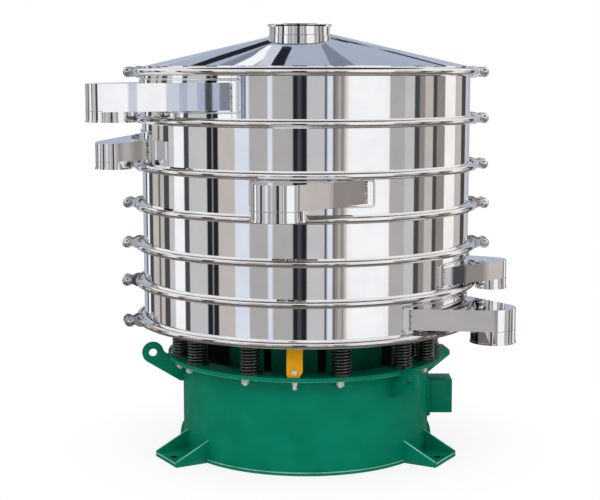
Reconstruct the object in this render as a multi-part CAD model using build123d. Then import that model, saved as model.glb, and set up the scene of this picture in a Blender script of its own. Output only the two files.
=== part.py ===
from build123d import *
from math import acos, atan2, cos, degrees, hypot, radians, sin
import os

# A round vibrating screen: six stacked sieve frames of stainless steel, gripped
# by seven split clamp rings under a conical lid, standing on coil springs in a
# round welded base. Millimetres, +Z up, origin on the machine's axis at the floor.
# Angles run round the axis from the front (-Y) towards the right (+X).

FULL_TURN = 360.0

# Heights, from the floor up: base, springs, spring table, then the sieve frames,
# whose pitches are listed from the top one down
BASE_H = 297.0
SPRING_LENGTH = 102.0
TABLE_T = 8.0
FRAME_PITCHES = (141.0, 141.0, 120.0, 120.0, 113.0, 113.0)

# Sheet metal of the sieve frames
SHELL_R = 500.0
SHEET = 3.0
FLANGE_W = 16.0
FLANGE_T = 3.0
FLARE_H = 17.0
FLANGE_R = SHELL_R + FLANGE_W

# Screen decks and the pan under the lowest one
DECK_T = 4.0
DECK_RIM_W = 22.0
CLOTH_T = 1.5
PAN_RISE = 28.0
PAN_RIM_W = 30.0

# Clamp rings: round bead with a V groove that grips the frames' flanges
RING_CLEARANCE = 0.3
RING_WALL = 9.7
RING_HALF_H = 9.5
RING_LIP_W = 3.7
RING_SPLIT_GAP = 34.0
GROOVE_R = FLANGE_R + RING_CLEARANCE
RING_OUTER_R = GROOVE_R + RING_WALL
LEFT_SPLIT_ANGLES = (-97.0, -104.0, -97.0, -93.0, -89.0, -85.0, -77.0)
RIGHT_SPLIT_ANGLES = (96.0, 95.0, 95.0, 92.0, 89.0, 102.0, 88.0)

# Lug at each ring end: forked root over the bead, waist and bolt eye
LUG_T = 8.0
LUG_REACH = 25.0
LUG_EYE_R = 16.0
LUG_HOLE_R = 8.5
LUG_ROOT_HALF_H = 25.0
LUG_ROOT_W = 7.0
LUG_WAIST_HALF_H = 11.5
LUG_WAIST_W = 18.0
LUG_FORK_DEPTH = 8.5
LUG_FORK_GAP = 2.5

# Lid and feed neck
LID_RIM_H = 23.0
LID_RISE = 109.0
NECK_X = -19.0
NECK_Y = -150.0
NECK_R = 89.0
NECK_OVER_APEX = 5.0
NECK_RIM_W = 7.0
NECK_RIM_H = 7.0
NECK_COLLAR_T = 2.0
NECK_COLLAR_DROP = 32.0

# Outlets, one a frame from the top down. Each has a flat tapered channel between
# two mouth angles on the shell and a round spout at its tip
OUTLET_TIP_ANGLES = (-65.0, -71.0, -7.0, 150.0, 79.5, 57.0)
OUTLET_LOW_ANGLES = (-79.0, -88.0, -15.0, 123.0, 51.0, 36.0)
OUTLET_HIGH_ANGLES = (-24.0, -66.0, 21.0, 159.0, 86.0, 71.0)
OUTLET_REACHES = (117.0, 98.0, 106.0, 106.0, 72.0, 139.0)
SPOUT_RADII = (74.0, 52.0, 77.0, 76.0, 46.0, 64.0)
ROOF_DROPS = (33.0, 62.0, 12.0, 19.0, 41.0, 32.0)
CHANNEL_DEPTHS = (79.0, 57.0, 69.0, 64.0, 54.0, 62.0)
SPOUT_DROPS = (32.0, 23.0, 30.0, 28.0, 33.0, 40.0)
ROOF_RISES_LOW = (3.0, 19.0, 0.0, 0.0, 2.0, 2.0)
ROOF_RISES_HIGH = (3.0, 4.0, 0.0, 0.0, 2.0, 2.0)
FLOOR_RISES = (7.0, 3.0, 3.0, 3.0, 3.0, 4.0)
OUTLET_SHEET = 3.0
COLLAR_T = 3.0
COLLAR_MARGIN = 8.0
COLLAR_SIDE = 26.0
COLLAR_CORNER_R = 9.0
SPOUT_LIP = 2.0
SPOUT_LIP_H = 5.0

# Base: rolled wall, top flange and foot ring
BASE_R = 383.0
BASE_WALL = 6.0
BASE_FLANGE_T = 12.0
BASE_FLANGE_OUT = 46.0
BASE_FLANGE_IN = 32.0
FOOT_RING_W = 4.0
FOOT_RING_H = 10.0
BASE_FLANGE_OUTER_R = BASE_R + BASE_FLANGE_OUT
BASE_FLANGE_INNER_R = BASE_R - BASE_FLANGE_IN
FOOT_RING_R = BASE_R + FOOT_RING_W

# Feet
FOOT_ANGLES = (-60.0, 60.0, 180.0)
FOOT_W = 146.0
FOOT_REACH = 100.0
FOOT_T = 12.0
FOOT_HOLE_R = 11.0
FOOT_HOLE_REACH = 72.0
FOOT_GUSSET_T = 8.0
FOOT_GUSSET_H = 57.0
FOOT_GUSSET_TIP_H = 5.0
FOOT_HOLE_CIRCLE_R = BASE_R + FOOT_HOLE_REACH

# Lifting lugs: blade welded under the flange, with a round eye at its own height
LIFTING_ANGLES = (-79.0, 41.0, 161.0)
LIFTING_T = 14.0
LIFTING_EYE_R = 33.0
LIFTING_HOLE_R = 12.5
LIFTING_REACHES = (95.0, 75.0, 75.0)
LIFTING_EYE_RISES = (5.0, -21.0, -21.0)
LIFTING_ROOT_H = 74.0
LIFTING_HEEL_W = 12.0
LIFTING_SHOULDER_ANGLE = 25.0

# Terminal box on a welded pad
BOX_ANGLE = 90.0
BOX_DEPTH = 69.0
BOX_W = 96.0
BOX_H = 103.0
BOX_UNDER_TOP = 92.0
BOX_EDGE_R = 4.0
PAD_DEPTH = 5.0
PAD_MARGIN = 9.0

# Side shelf: plate that widens towards the base, on two sloping gussets
SHELF_ANGLE = 98.0
SHELF_REACH = 70.0
SHELF_TIP_W = 90.0
SHELF_ROOT_W = 208.0
SHELF_T = 8.0
SHELF_DROP = 9.0
SHELF_TIP_H = 16.0
SHELF_ROOT_H = 66.0

# Arched rims round the cable openings
ARCH_ANGLES = (-98.0, 98.0)
ARCH_R = 49.0
ARCH_BAND = 11.0
ARCH_PROUD = 12.0

# Coil springs on the flange, each in a shallow seat, at offsets from each transport lock
SPRING_OFFSETS = (-50.0, -19.5, 19.5, 50.0)
SPRING_OUTSET = 10.0
SPRING_R = 30.0
SPRING_WIRE_R = 3.8
SPRING_WIRE_SIDES = 6
SPRING_HALF_TURNS = 21
SPRING_SEAT_W = 3.0
SPRING_SEAT_H = 9.0
SPRING_CIRCLE_R = BASE_R + SPRING_OUTSET

# Spring table and the motor drum hung under it
TABLE_STEP = 11.0
DRUM_R = 238.0
DRUM_WALL = 6.0
DRUM_DEPTH = 233.0
DRUM_PANELS = 3
DRUM_FIRST_PANEL_ANGLE = -8.6
DRUM_SLOT_PAIR_ANGLE = 40.6
DRUM_SLOT_W = 27.0
DRUM_SLOT_H = 149.0
DRUM_SLOT_DROP = 9.0
DRUM_FLANGE_T = 12.0
DRUM_FLANGE_W = 82.0
MOTOR_R = 112.0
MOTOR_FLANGE_R = 190.0
MOTOR_FLANGE_T = 16.0
MOTOR_OVER = 140.0
MOTOR_UNDER = 90.0

# Transport locks: bent plate bolted to an angle piece on the flange
LOCK_ANGLES = (-4.5, 115.5, 235.5)
LOCK_W = 46.0
LOCK_T = 6.0
LOCK_EDGE = 9.0
LOCK_BEND_H = 59.0
LOCK_LEAN = 16.0
LOCK_ANGLE_LEG = 34.0
LOCK_CHAMFER_WIDTHS = (3.0, 10.0)
LOCK_CHAMFER_HEIGHTS = (9.0, 17.0)
LOCK_HOLE_R = 5.5
LOCK_HOLE_H = 16.0


def joint_heights():
    """Height of each joint plane between the frames, from the top one down."""
    heights = [BASE_H + SPRING_LENGTH + TABLE_T + DECK_T / 2]
    for pitch in reversed(FRAME_PITCHES):
        heights.insert(0, heights[0] + pitch)
    return heights


JOINT_Z = joint_heights()
TABLE_BOTTOM_Z = BASE_H + SPRING_LENGTH
TABLE_TOP_Z = TABLE_BOTTOM_Z + TABLE_T
EAVES_Z = JOINT_Z[0] + LID_RIM_H
APEX_Z = EAVES_Z + LID_RISE
NECK_TOP_Z = APEX_Z + NECK_OVER_APEX
DRUM_BOTTOM_Z = TABLE_BOTTOM_Z - DRUM_DEPTH


def around(angle, radius=0.0, z=0.0):
    """Place on the circle at an angle: local X points outward, local Y along the circle."""
    return Rot(0, 0, angle - 90.0) * Pos(radius, 0, z)


def on_plan(angle, radius):
    """Plan coordinates of a point at an angle and radius."""
    return radius * sin(radians(angle)), -radius * cos(radians(angle))


def turned(points, sweep_angle=FULL_TURN):
    """Solid of revolution of a closed outline of (radius, height) points."""
    outline = Polyline(*[(r, 0, z) for r, z in points], close=True)
    return revolve(make_face(outline), Axis.Z, sweep_angle)


def tube(outer_r, inner_r, bottom_z, top_z):
    """Upright tube on the origin's axis."""
    return turned([(inner_r, bottom_z), (outer_r, bottom_z), (outer_r, top_z), (inner_r, top_z)])


def tube_sector(outer_r, inner_r, bottom_z, top_z, low_angle, high_angle):
    """Part of an upright tube between two angles."""
    section = [(inner_r, bottom_z), (outer_r, bottom_z), (outer_r, top_z), (inner_r, top_z)]
    return Rot(0, 0, low_angle - 90.0) * turned(section, high_angle - low_angle)


def upright(radius, bottom_z, top_z):
    """Upright round bar on the origin's axis."""
    standing = (Align.CENTER, Align.CENTER, Align.MIN)
    return Pos(0, 0, bottom_z) * Cylinder(radius, top_z - bottom_z, align=standing)


def slab(points, bottom_z, top_z):
    """Plate with a plan outline of (x, y) points."""
    face = make_face(Polyline(*[(x, y, bottom_z) for x, y in points], close=True))
    return extrude(face, top_z - bottom_z, dir=(0, 0, 1))


def radial_plate(points, thickness):
    """Upright plate in the local XZ plane, of (radius, height) points, centred on y = 0."""
    face = make_face(Polyline(*[(r, 0, z) for r, z in points], close=True))
    return extrude(face, thickness / 2, dir=(0, 1, 0), both=True)


def cross_bar(radius, reach_r, z, length):
    """Round bar along the circle, for the eyes and holes of upright plates."""
    return Pos(reach_r, 0, z) * Rot(90, 0, 0) * Cylinder(radius, length)


def frame_profile(top_z, bottom_z):
    """Half section of a sieve frame: thin wall with a flared flange at each end."""
    inner_r = SHELL_R - SHEET
    flange_bottom = bottom_z + DECK_T / 2
    flange_top = top_z - DECK_T / 2
    return [
        (inner_r, flange_bottom),
        (FLANGE_R, flange_bottom),
        (FLANGE_R, flange_bottom + FLANGE_T),
        (SHELL_R, bottom_z + FLARE_H),
        (SHELL_R, top_z - FLARE_H),
        (FLANGE_R, flange_top - FLANGE_T),
        (FLANGE_R, flange_top),
        (inner_r, flange_top),
    ]


def frame_envelope(index):
    """Solid outer form of a sieve frame up to its joint planes, which its outlet meets."""
    top_z = JOINT_Z[index]
    bottom_z = JOINT_Z[index + 1]
    wall = frame_profile(top_z, bottom_z)[2:-2]
    return turned([(0, bottom_z), (FLANGE_R, bottom_z)] + wall + [(FLANGE_R, top_z), (0, top_z)])


def make_frame(index):
    """One sieve frame, with the window of its outlet cut through the wall."""
    frame = turned(frame_profile(JOINT_Z[index], JOINT_Z[index + 1]))
    outlet = Outlet(index)
    return frame - outlet.body(OUTLET_SHEET, outlet.floor_z)


def make_deck(joint):
    """Screen deck gripped between two frames: rim ring and stretched cloth."""
    z = JOINT_Z[joint]
    cloth_r = FLANGE_R - DECK_RIM_W
    rim = tube(FLANGE_R, cloth_r, z - DECK_T / 2, z + DECK_T / 2)
    return rim + upright(cloth_r, z - CLOTH_T / 2, z + CLOTH_T / 2)


def make_bottom_pan():
    """Shallow cone that carries the lowest product to its outlet, gripped at its rim."""
    low_z = JOINT_Z[-1] - DECK_T / 2
    cone_r = FLANGE_R - PAN_RIM_W
    return turned([
        (0, low_z + PAN_RISE),
        (cone_r, low_z),
        (FLANGE_R, low_z),
        (FLANGE_R, low_z + DECK_T),
        (cone_r, low_z + DECK_T),
        (0, low_z + DECK_T + PAN_RISE),
    ])


def ring_profile():
    """Half section of a clamp ring: a round bead with a V groove inside."""
    groove_half_h = DECK_T / 2 + FLANGE_T + RING_CLEARANCE
    lip_r = GROOVE_R - RING_LIP_W
    bead = ThreePointArc((lip_r, 0, RING_HALF_H), (RING_OUTER_R, 0, 0), (lip_r, 0, -RING_HALF_H))
    groove = Polyline(
        (lip_r, 0, -RING_HALF_H),
        (GROOVE_R, 0, -groove_half_h),
        (GROOVE_R, 0, groove_half_h),
        (lip_r, 0, RING_HALF_H),
    )
    return make_face(Wire([bead] + groove.edges()))


def ring_half(start_angle, end_angle):
    """Clamp ring between two angles, at height zero."""
    return Rot(0, 0, start_angle - 90.0) * revolve(ring_profile(), Axis.Z, end_angle - start_angle)


def clamp_lug():
    """Lug plate whose forked root straddles the bead; bolt face at y = 0, body at +Y."""
    bolt_r = RING_OUTER_R + LUG_REACH
    waist_r = GROOVE_R + LUG_WAIST_W
    shoulder_r = GROOVE_R + LUG_ROOT_W
    fork_r = GROOVE_R - LUG_FORK_DEPTH
    fork_half_h = RING_HALF_H + LUG_FORK_GAP
    upper = [
        (GROOVE_R, fork_half_h),
        (fork_r, fork_half_h),
        (fork_r, LUG_ROOT_HALF_H),
        (shoulder_r, LUG_ROOT_HALF_H),
        (waist_r, LUG_WAIST_HALF_H),
        (bolt_r, LUG_WAIST_HALF_H),
    ]
    lower = [(r, -z) for r, z in reversed(upper)]
    plate = radial_plate(upper + lower, LUG_T) + cross_bar(LUG_EYE_R, bolt_r, 0, LUG_T)
    return Pos(0, LUG_T / 2, 0) * (plate - cross_bar(LUG_HOLE_R, bolt_r, 0, 2 * LUG_T))


def make_clamp_ring(index):
    """Two ring halves with a bolting lug at each end."""
    left = LEFT_SPLIT_ANGLES[index]
    right = RIGHT_SPLIT_ANGLES[index]
    gap = degrees(RING_SPLIT_GAP / 2 / RING_OUTER_R)
    halves = []
    for start, end in ((left + gap, right - gap), (right + gap, left + FULL_TURN - gap)):
        half = ring_half(start, end)
        half += around(start) * clamp_lug()
        half += around(end) * mirror(clamp_lug(), Plane.XZ)
        halves.append(Pos(0, 0, JOINT_Z[index]) * half)
    return halves


def make_lid():
    """Conical lid with a flared rim, cut for the feed neck."""
    inner_r = SHELL_R - SHEET
    rim_z = JOINT_Z[0] + DECK_T / 2
    shell = turned([
        (inner_r, rim_z),
        (FLANGE_R, rim_z),
        (FLANGE_R, rim_z + FLANGE_T),
        (SHELL_R, JOINT_Z[0] + FLARE_H),
        (SHELL_R, EAVES_Z),
        (0, APEX_Z),
        (0, APEX_Z - SHEET),
        (inner_r, EAVES_Z - SHEET),
    ])
    return shell - Pos(NECK_X, NECK_Y, 0) * upright(NECK_R - SHEET, EAVES_Z, NECK_TOP_Z)


def make_neck():
    """Feed neck: open tube with a seam collar and a rolled rim, trimmed to the cone."""
    bore_r = NECK_R - SHEET
    body = tube(NECK_R, bore_r, EAVES_Z, NECK_TOP_Z)
    collar = tube(NECK_R + NECK_COLLAR_T, bore_r, EAVES_Z, NECK_TOP_Z - NECK_COLLAR_DROP)
    bend = NECK_RIM_H / 2
    rim = turned([
        (bore_r, NECK_TOP_Z),
        (NECK_R + NECK_RIM_W / 2, NECK_TOP_Z),
        (NECK_R + NECK_RIM_W, NECK_TOP_Z - bend / 2),
        (NECK_R + NECK_RIM_W, NECK_TOP_Z - bend),
        (NECK_R, NECK_TOP_Z - NECK_RIM_H),
        (bore_r, NECK_TOP_Z - NECK_RIM_H),
    ])
    cone = turned([(0, 0), (SHELL_R, 0), (SHELL_R, EAVES_Z), (0, APEX_Z)])
    return Pos(NECK_X, NECK_Y, 0) * (body + collar + rim) - cone


def tangent_point(point, centre, radius, side):
    """Point where a line from a point touches a circle; side is +1 or -1."""
    away_x, away_y = point[0] - centre[0], point[1] - centre[1]
    reach = hypot(away_x, away_y)
    heading = atan2(away_y, away_x) + side * acos(radius / reach)
    return centre[0] + radius * cos(heading), centre[1] + radius * sin(heading)


class Outlet:
    """Outlet of one sieve frame: a flat tapered channel that ends in a round spout."""

    def __init__(self, index):
        self.index = index
        self.tip_angle = OUTLET_TIP_ANGLES[index]
        self.low_angle = OUTLET_LOW_ANGLES[index]
        self.high_angle = OUTLET_HIGH_ANGLES[index]
        self.tip_r = SHELL_R + OUTLET_REACHES[index]
        self.spout_r = SPOUT_RADII[index]
        self.roof_z = JOINT_Z[index] - ROOF_DROPS[index]
        self.floor_z = self.roof_z - CHANNEL_DEPTHS[index]
        self.end_z = self.floor_z - SPOUT_DROPS[index]
        self.roof_rises = (ROOF_RISES_LOW[index], ROOF_RISES_HIGH[index])
        self.floor_rise = FLOOR_RISES[index]

    def slope(self, tip_z, low_rise, high_rise):
        """Plane of the roof or floor, from its height at the tip and its rise to each mouth angle."""
        tip = Vector(*on_plan(self.tip_angle, self.tip_r), tip_z)
        low = Vector(*on_plan(self.low_angle, SHELL_R), tip_z + low_rise)
        high = Vector(*on_plan(self.high_angle, SHELL_R), tip_z + high_rise)
        return Plane(origin=tip, z_dir=(high - tip).cross(low - tip))

    def body(self, inset, low_z):
        """Outside (inset 0) or inside (inset a sheet) of the channel and spout."""
        centre = on_plan(self.tip_angle, self.tip_r)
        root_r = SHELL_R - 4 * SHEET
        corner_shift = degrees(inset / root_r)
        low = on_plan(self.low_angle + corner_shift, root_r)
        high = on_plan(self.high_angle - corner_shift, root_r)
        radius = self.spout_r - inset
        low_touch = tangent_point(low, centre, radius, 1)
        high_touch = tangent_point(high, centre, radius, -1)
        top_z = JOINT_Z[self.index]
        bottom_z = JOINT_Z[self.index + 1]
        channel = slab([low, low_touch, high_touch, high], bottom_z, top_z)
        room = 4 * SHELL_R
        floor = self.slope(self.floor_z + inset, self.floor_rise, self.floor_rise)
        channel -= floor * Box(room, room, room, align=(Align.CENTER, Align.CENTER, Align.MAX))
        spout = around(self.tip_angle, self.tip_r) * upright(radius, low_z, top_z)
        roof = self.slope(self.roof_z - inset, *self.roof_rises)
        over_roof = roof * Box(room, room, room, align=(Align.CENTER, Align.CENTER, Align.MIN))
        return channel + spout - over_roof

    def collar(self):
        """Welded collar with rounded corners round the mouth, on the frame's wall."""
        side_angle = degrees(COLLAR_SIDE / SHELL_R)
        plate = tube_sector(
            SHELL_R + COLLAR_T, SHELL_R - 2 * SHEET,
            self.floor_z + self.floor_rise - COLLAR_MARGIN,
            self.roof_z + max(self.roof_rises) + COLLAR_MARGIN,
            self.low_angle - side_angle, self.high_angle + side_angle,
        )
        corners = plate.edges().filter_by(GeomType.LINE).filter_by(Axis.Z, reverse=True)
        return fillet(corners, COLLAR_CORNER_R)

    def solid(self):
        """Sheet metal of the outlet, trimmed to the frame that it is welded to."""
        lip = around(self.tip_angle, self.tip_r) * upright(
            self.spout_r + SPOUT_LIP, self.end_z, self.end_z + SPOUT_LIP_H
        )
        outside = self.body(0, self.end_z) + self.collar() + lip
        return outside - self.body(OUTLET_SHEET, self.end_z) - frame_envelope(self.index)


def make_table():
    """Spring table: plate that carries the body and the drum, with a stepped rim for the lowest ring."""
    hole_r = DRUM_R - DRUM_WALL
    plate_r = FLANGE_R - TABLE_STEP
    return turned([
        (hole_r, TABLE_BOTTOM_Z),
        (plate_r, TABLE_BOTTOM_Z),
        (plate_r, TABLE_TOP_Z - FLANGE_T),
        (FLANGE_R, TABLE_TOP_Z - FLANGE_T),
        (FLANGE_R, TABLE_TOP_Z),
        (hole_r, TABLE_TOP_Z),
    ])


def make_drum():
    """Motor drum hung under the table, with pairs of upright slots."""
    flange_top_z = DRUM_BOTTOM_Z + DRUM_FLANGE_T
    drum = tube(DRUM_R, DRUM_R - DRUM_WALL, DRUM_BOTTOM_Z, TABLE_BOTTOM_Z)
    drum += tube(DRUM_R, DRUM_R - DRUM_WALL - DRUM_FLANGE_W, DRUM_BOTTOM_Z, flange_top_z)
    hanging = (Align.CENTER, Align.CENTER, Align.MAX)
    slot = Box(4 * DRUM_WALL, DRUM_SLOT_W, DRUM_SLOT_H, align=hanging)
    for panel in range(DRUM_PANELS):
        middle = DRUM_FIRST_PANEL_ANGLE + FULL_TURN / DRUM_PANELS * panel
        for side in (-0.5, 0.5):
            place = around(middle + side * DRUM_SLOT_PAIR_ANGLE, DRUM_R, TABLE_BOTTOM_Z - DRUM_SLOT_DROP)
            drum -= place * slot
    return drum


def make_motor():
    """Upright vibration motor, its flange on the drum's bottom flange."""
    seat_z = DRUM_BOTTOM_Z + DRUM_FLANGE_T
    body = upright(MOTOR_R, DRUM_BOTTOM_Z - MOTOR_UNDER, DRUM_BOTTOM_Z + MOTOR_OVER)
    return body + upright(MOTOR_FLANGE_R, seat_z, seat_z + MOTOR_FLANGE_T)


def base_outside():
    """Solid outer form of the base wall, foot ring and flange, which fittings are trimmed to."""
    wall = upright(BASE_R, 0, BASE_H)
    foot_ring = upright(FOOT_RING_R, 0, FOOT_RING_H)
    return wall + foot_ring + upright(BASE_FLANGE_OUTER_R, BASE_H - BASE_FLANGE_T, BASE_H)


def make_base_shell():
    """Rolled base wall with a foot ring and arched cable openings."""
    inner_r = BASE_R - BASE_WALL
    wall = tube(BASE_R, inner_r, 0, BASE_H - BASE_FLANGE_T)
    wall += tube(FOOT_RING_R, inner_r, 0, FOOT_RING_H)
    for angle in ARCH_ANGLES:
        wall -= around(angle, BASE_R) * Rot(0, 90, 0) * Cylinder(ARCH_R - ARCH_BAND, 8 * BASE_WALL)
    return wall


def make_base_flange():
    """Top flange ring that the springs stand on."""
    return tube(BASE_FLANGE_OUTER_R, BASE_FLANGE_INNER_R, BASE_H - BASE_FLANGE_T, BASE_H)


def make_arches():
    """Half-round rims welded round the cable openings."""
    length = ARCH_PROUD + 2 * BASE_WALL
    arches = []
    for angle in ARCH_ANGLES:
        place = around(angle, BASE_R + ARCH_PROUD - length / 2) * Rot(0, 90, 0)
        rim = place * (Cylinder(ARCH_R, length) - Cylinder(ARCH_R - ARCH_BAND, length))
        under_floor = Box(4 * BASE_R, 4 * BASE_R, 2 * ARCH_R, align=(Align.CENTER, Align.CENTER, Align.MAX))
        arches.append(rim - under_floor - base_outside())
    return arches


def make_foot(angle):
    """Foot plate with two sloping gussets, trimmed to the base wall."""
    half_w = FOOT_W / 2
    root_r = BASE_R - 6 * BASE_WALL
    tip_r = BASE_R + FOOT_REACH
    plate = slab([(root_r, -half_w), (tip_r, -half_w), (tip_r, half_w), (root_r, half_w)], 0, FOOT_T)
    plate -= Pos(FOOT_HOLE_CIRCLE_R, 0, 0) * upright(FOOT_HOLE_R, 0, FOOT_T)
    gusset = radial_plate([
        (root_r, FOOT_T),
        (tip_r, FOOT_T),
        (tip_r, FOOT_T + FOOT_GUSSET_TIP_H),
        (BASE_R - BASE_WALL, FOOT_T + FOOT_GUSSET_H),
        (root_r, FOOT_T + FOOT_GUSSET_H),
    ], FOOT_GUSSET_T)
    foot = plate
    for side in (-1, 1):
        foot += Pos(0, side * (half_w - FOOT_GUSSET_T / 2), 0) * gusset
    return around(angle) * foot - base_outside()


def make_lifting_lug(index):
    """Lifting lug: a blade welded to the base wall under the flange, with a round eye."""
    eye_r = BASE_R + LIFTING_REACHES[index]
    eye_z = BASE_H + LIFTING_EYE_RISES[index]
    shoulder = radians(LIFTING_SHOULDER_ANGLE)
    root_r = BASE_R - 2 * BASE_WALL
    under_flange_z = BASE_H - BASE_FLANGE_T
    blade = radial_plate([
        (root_r, under_flange_z - LIFTING_ROOT_H),
        (BASE_R + LIFTING_HEEL_W, under_flange_z - LIFTING_ROOT_H),
        (eye_r + LIFTING_EYE_R * sin(shoulder), eye_z - LIFTING_EYE_R * cos(shoulder)),
        (eye_r, eye_z + LIFTING_EYE_R),
        (BASE_FLANGE_OUTER_R + LIFTING_HEEL_W / 2, BASE_H),
        (root_r, BASE_H),
    ], LIFTING_T)
    lug = blade + cross_bar(LIFTING_EYE_R, eye_r, eye_z, LIFTING_T)
    lug -= cross_bar(LIFTING_HOLE_R, eye_r, eye_z, 2 * LIFTING_T)
    return around(LIFTING_ANGLES[index]) * lug - base_outside()


def make_terminal_box():
    """Closed terminal box on a pad that is welded to the base wall."""
    top_z = BASE_H - BOX_UNDER_TOP
    face_r = BASE_R + PAD_DEPTH
    hanging = (Align.MIN, Align.CENTER, Align.MAX)
    box = Pos(face_r, 0, top_z) * Box(BOX_DEPTH, BOX_W, BOX_H, align=hanging)
    box = fillet(box.edges().filter_by(Axis.Z), BOX_EDGE_R)
    pad_w = BOX_W + 2 * PAD_MARGIN
    pad_depth = PAD_DEPTH + 2 * BASE_WALL
    pad = Pos(face_r - pad_depth, 0, top_z + PAD_MARGIN) * Box(
        pad_depth, pad_w, BOX_H + 2 * PAD_MARGIN, align=hanging
    )
    pad = fillet(pad.edges().filter_by(Axis.X), PAD_MARGIN)
    return around(BOX_ANGLE) * (box + pad) - base_outside()


def make_shelf():
    """Side shelf just under the flange's top, its two gussets along the slanting edges."""
    root_r = BASE_R - 4 * BASE_WALL
    tip_r = BASE_R + SHELF_REACH
    tip_half = SHELF_TIP_W / 2
    root_half = SHELF_ROOT_W / 2
    top_z = BASE_H - SHELF_DROP
    under_z = top_z - SHELF_T
    outline = [(root_r, -root_half), (tip_r, -tip_half), (tip_r, tip_half), (root_r, root_half)]
    shelf = slab(outline, under_z, top_z)
    edge_x, edge_y = tip_r - root_r, root_half - tip_half
    edge_length = hypot(edge_x, edge_y)
    gusset = radial_plate([
        (0, under_z),
        (edge_length, under_z),
        (edge_length, top_z - SHELF_TIP_H),
        (0, top_z - SHELF_ROOT_H),
    ], SHELF_T)
    slant = degrees(atan2(edge_y, edge_x))
    for side in (-1, 1):
        along_edge = Pos(root_r, side * (root_half - SHELF_T), 0) * Rot(0, 0, -side * slant)
        shelf += along_edge * gusset
    return around(SHELF_ANGLE) * shelf - base_outside()


def make_coil():
    """Coil of tangent half-turn arcs that each rise half a pitch, its wire six-sided, ground flat."""
    mean_r = SPRING_R - SPRING_WIRE_R
    rise = SPRING_LENGTH / SPRING_HALF_TURNS
    bulge_r = hypot(mean_r, rise / 2)
    arcs = []
    for index in range(SPRING_HALF_TURNS):
        side = 1 if index % 2 == 0 else -1
        z = BASE_H + index * rise
        arcs += ThreePointArc(
            (side * mean_r, 0, z), (0, side * bulge_r, z + rise / 2), (-side * mean_r, 0, z + rise)
        ).edges()
    path = Wire(arcs)
    section = Plane(path @ 0, z_dir=path % 0) * RegularPolygon(SPRING_WIRE_R, SPRING_WIRE_SIDES)
    return sweep(section, path) & upright(2 * SPRING_R, BASE_H, TABLE_BOTTOM_Z)


def make_springs():
    """Coil springs between the flange and the table, each fused with its round bottom seat."""
    seat_bore_r = SPRING_R - SPRING_SEAT_W - 2 * SPRING_WIRE_R
    seat = tube(SPRING_R + SPRING_SEAT_W, seat_bore_r, BASE_H, BASE_H + SPRING_SEAT_H)
    spring = make_coil() + seat
    angles = [lock + offset for lock in LOCK_ANGLES for offset in SPRING_OFFSETS]
    return [around(angle, SPRING_CIRCLE_R) * spring for angle in angles]


def make_lock(angle):
    """Bent lock plate with cut corners, bolted to an angle piece on the base flange."""
    face_r = BASE_FLANGE_OUTER_R - LOCK_EDGE
    heel_r = face_r - LOCK_T
    bend_z = BASE_H + LOCK_BEND_H
    plate = radial_plate([
        (face_r, BASE_H),
        (face_r, bend_z),
        (face_r - LOCK_LEAN, TABLE_BOTTOM_Z),
        (heel_r - LOCK_LEAN, TABLE_BOTTOM_Z),
        (heel_r, bend_z),
        (heel_r, BASE_H),
    ], LOCK_W)
    for side, width, height in zip((-1, 1), LOCK_CHAMFER_WIDTHS, LOCK_CHAMFER_HEIGHTS):
        corner = Polyline(
            (0, side * LOCK_W / 2, BASE_H),
            (0, side * (LOCK_W / 2 - width), BASE_H),
            (0, side * LOCK_W / 2, BASE_H + height),
            close=True,
        )
        plate -= extrude(make_face(corner), face_r + LOCK_T, dir=(1, 0, 0))
    angle_piece = radial_plate([
        (heel_r, BASE_H),
        (heel_r, BASE_H + LOCK_ANGLE_LEG),
        (heel_r - LOCK_T, BASE_H + LOCK_ANGLE_LEG),
        (heel_r - LOCK_T, BASE_H + LOCK_T),
        (heel_r - LOCK_ANGLE_LEG, BASE_H + LOCK_T),
        (heel_r - LOCK_ANGLE_LEG, BASE_H),
    ], LOCK_W - 2 * max(LOCK_CHAMFER_WIDTHS))
    bolt_hole = Pos(heel_r, 0, BASE_H + LOCK_HOLE_H) * Rot(0, 90, 0) * Cylinder(LOCK_HOLE_R, 4 * LOCK_T)
    return around(angle) * (plate + angle_piece - bolt_hole)


def save(name, *solids):
    """Write one sub-part."""
    parts = [solid for shape in solids for solid in shape.solids()]
    shape = parts[0] if len(parts) == 1 else Compound(children=parts)
    export_step(shape, f"parts/{name}.step")


def main():
    os.makedirs("parts", exist_ok=True)
    save("base_shell", make_base_shell())
    save("base_flange", make_base_flange())
    save("cable_arches", *make_arches())
    for name, angle in zip(("left", "right", "rear"), FOOT_ANGLES):
        save(f"foot_{name}", make_foot(angle))
    for index, name in enumerate(("left", "right", "rear")):
        save(f"lifting_lug_{name}", make_lifting_lug(index))
    save("terminal_box", make_terminal_box())
    save("side_shelf", make_shelf())
    save("springs", *make_springs())
    save("transport_locks", *[make_lock(angle) for angle in LOCK_ANGLES])
    save("spring_table", make_table())
    save("motor_drum", make_drum())
    save("drive_motor", make_motor())
    save("bottom_pan", make_bottom_pan())
    for index in range(len(FRAME_PITCHES)):
        save(f"sieve_frame_{index + 1}", make_frame(index))
        save(f"outlet_{index + 1}", Outlet(index).solid())
    for joint in range(1, len(FRAME_PITCHES)):
        save(f"screen_deck_{joint}", make_deck(joint))
    for index in range(len(JOINT_Z)):
        save(f"clamp_ring_{index + 1}", *make_clamp_ring(index))
    save("lid", make_lid())
    save("feed_neck", make_neck())


main()
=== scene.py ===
import bmesh
import bpy
from math import acos, atan2, copysign, cos, degrees, hypot, pi, radians, sin, sqrt, tan
from mathutils import Matrix, Vector


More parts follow.
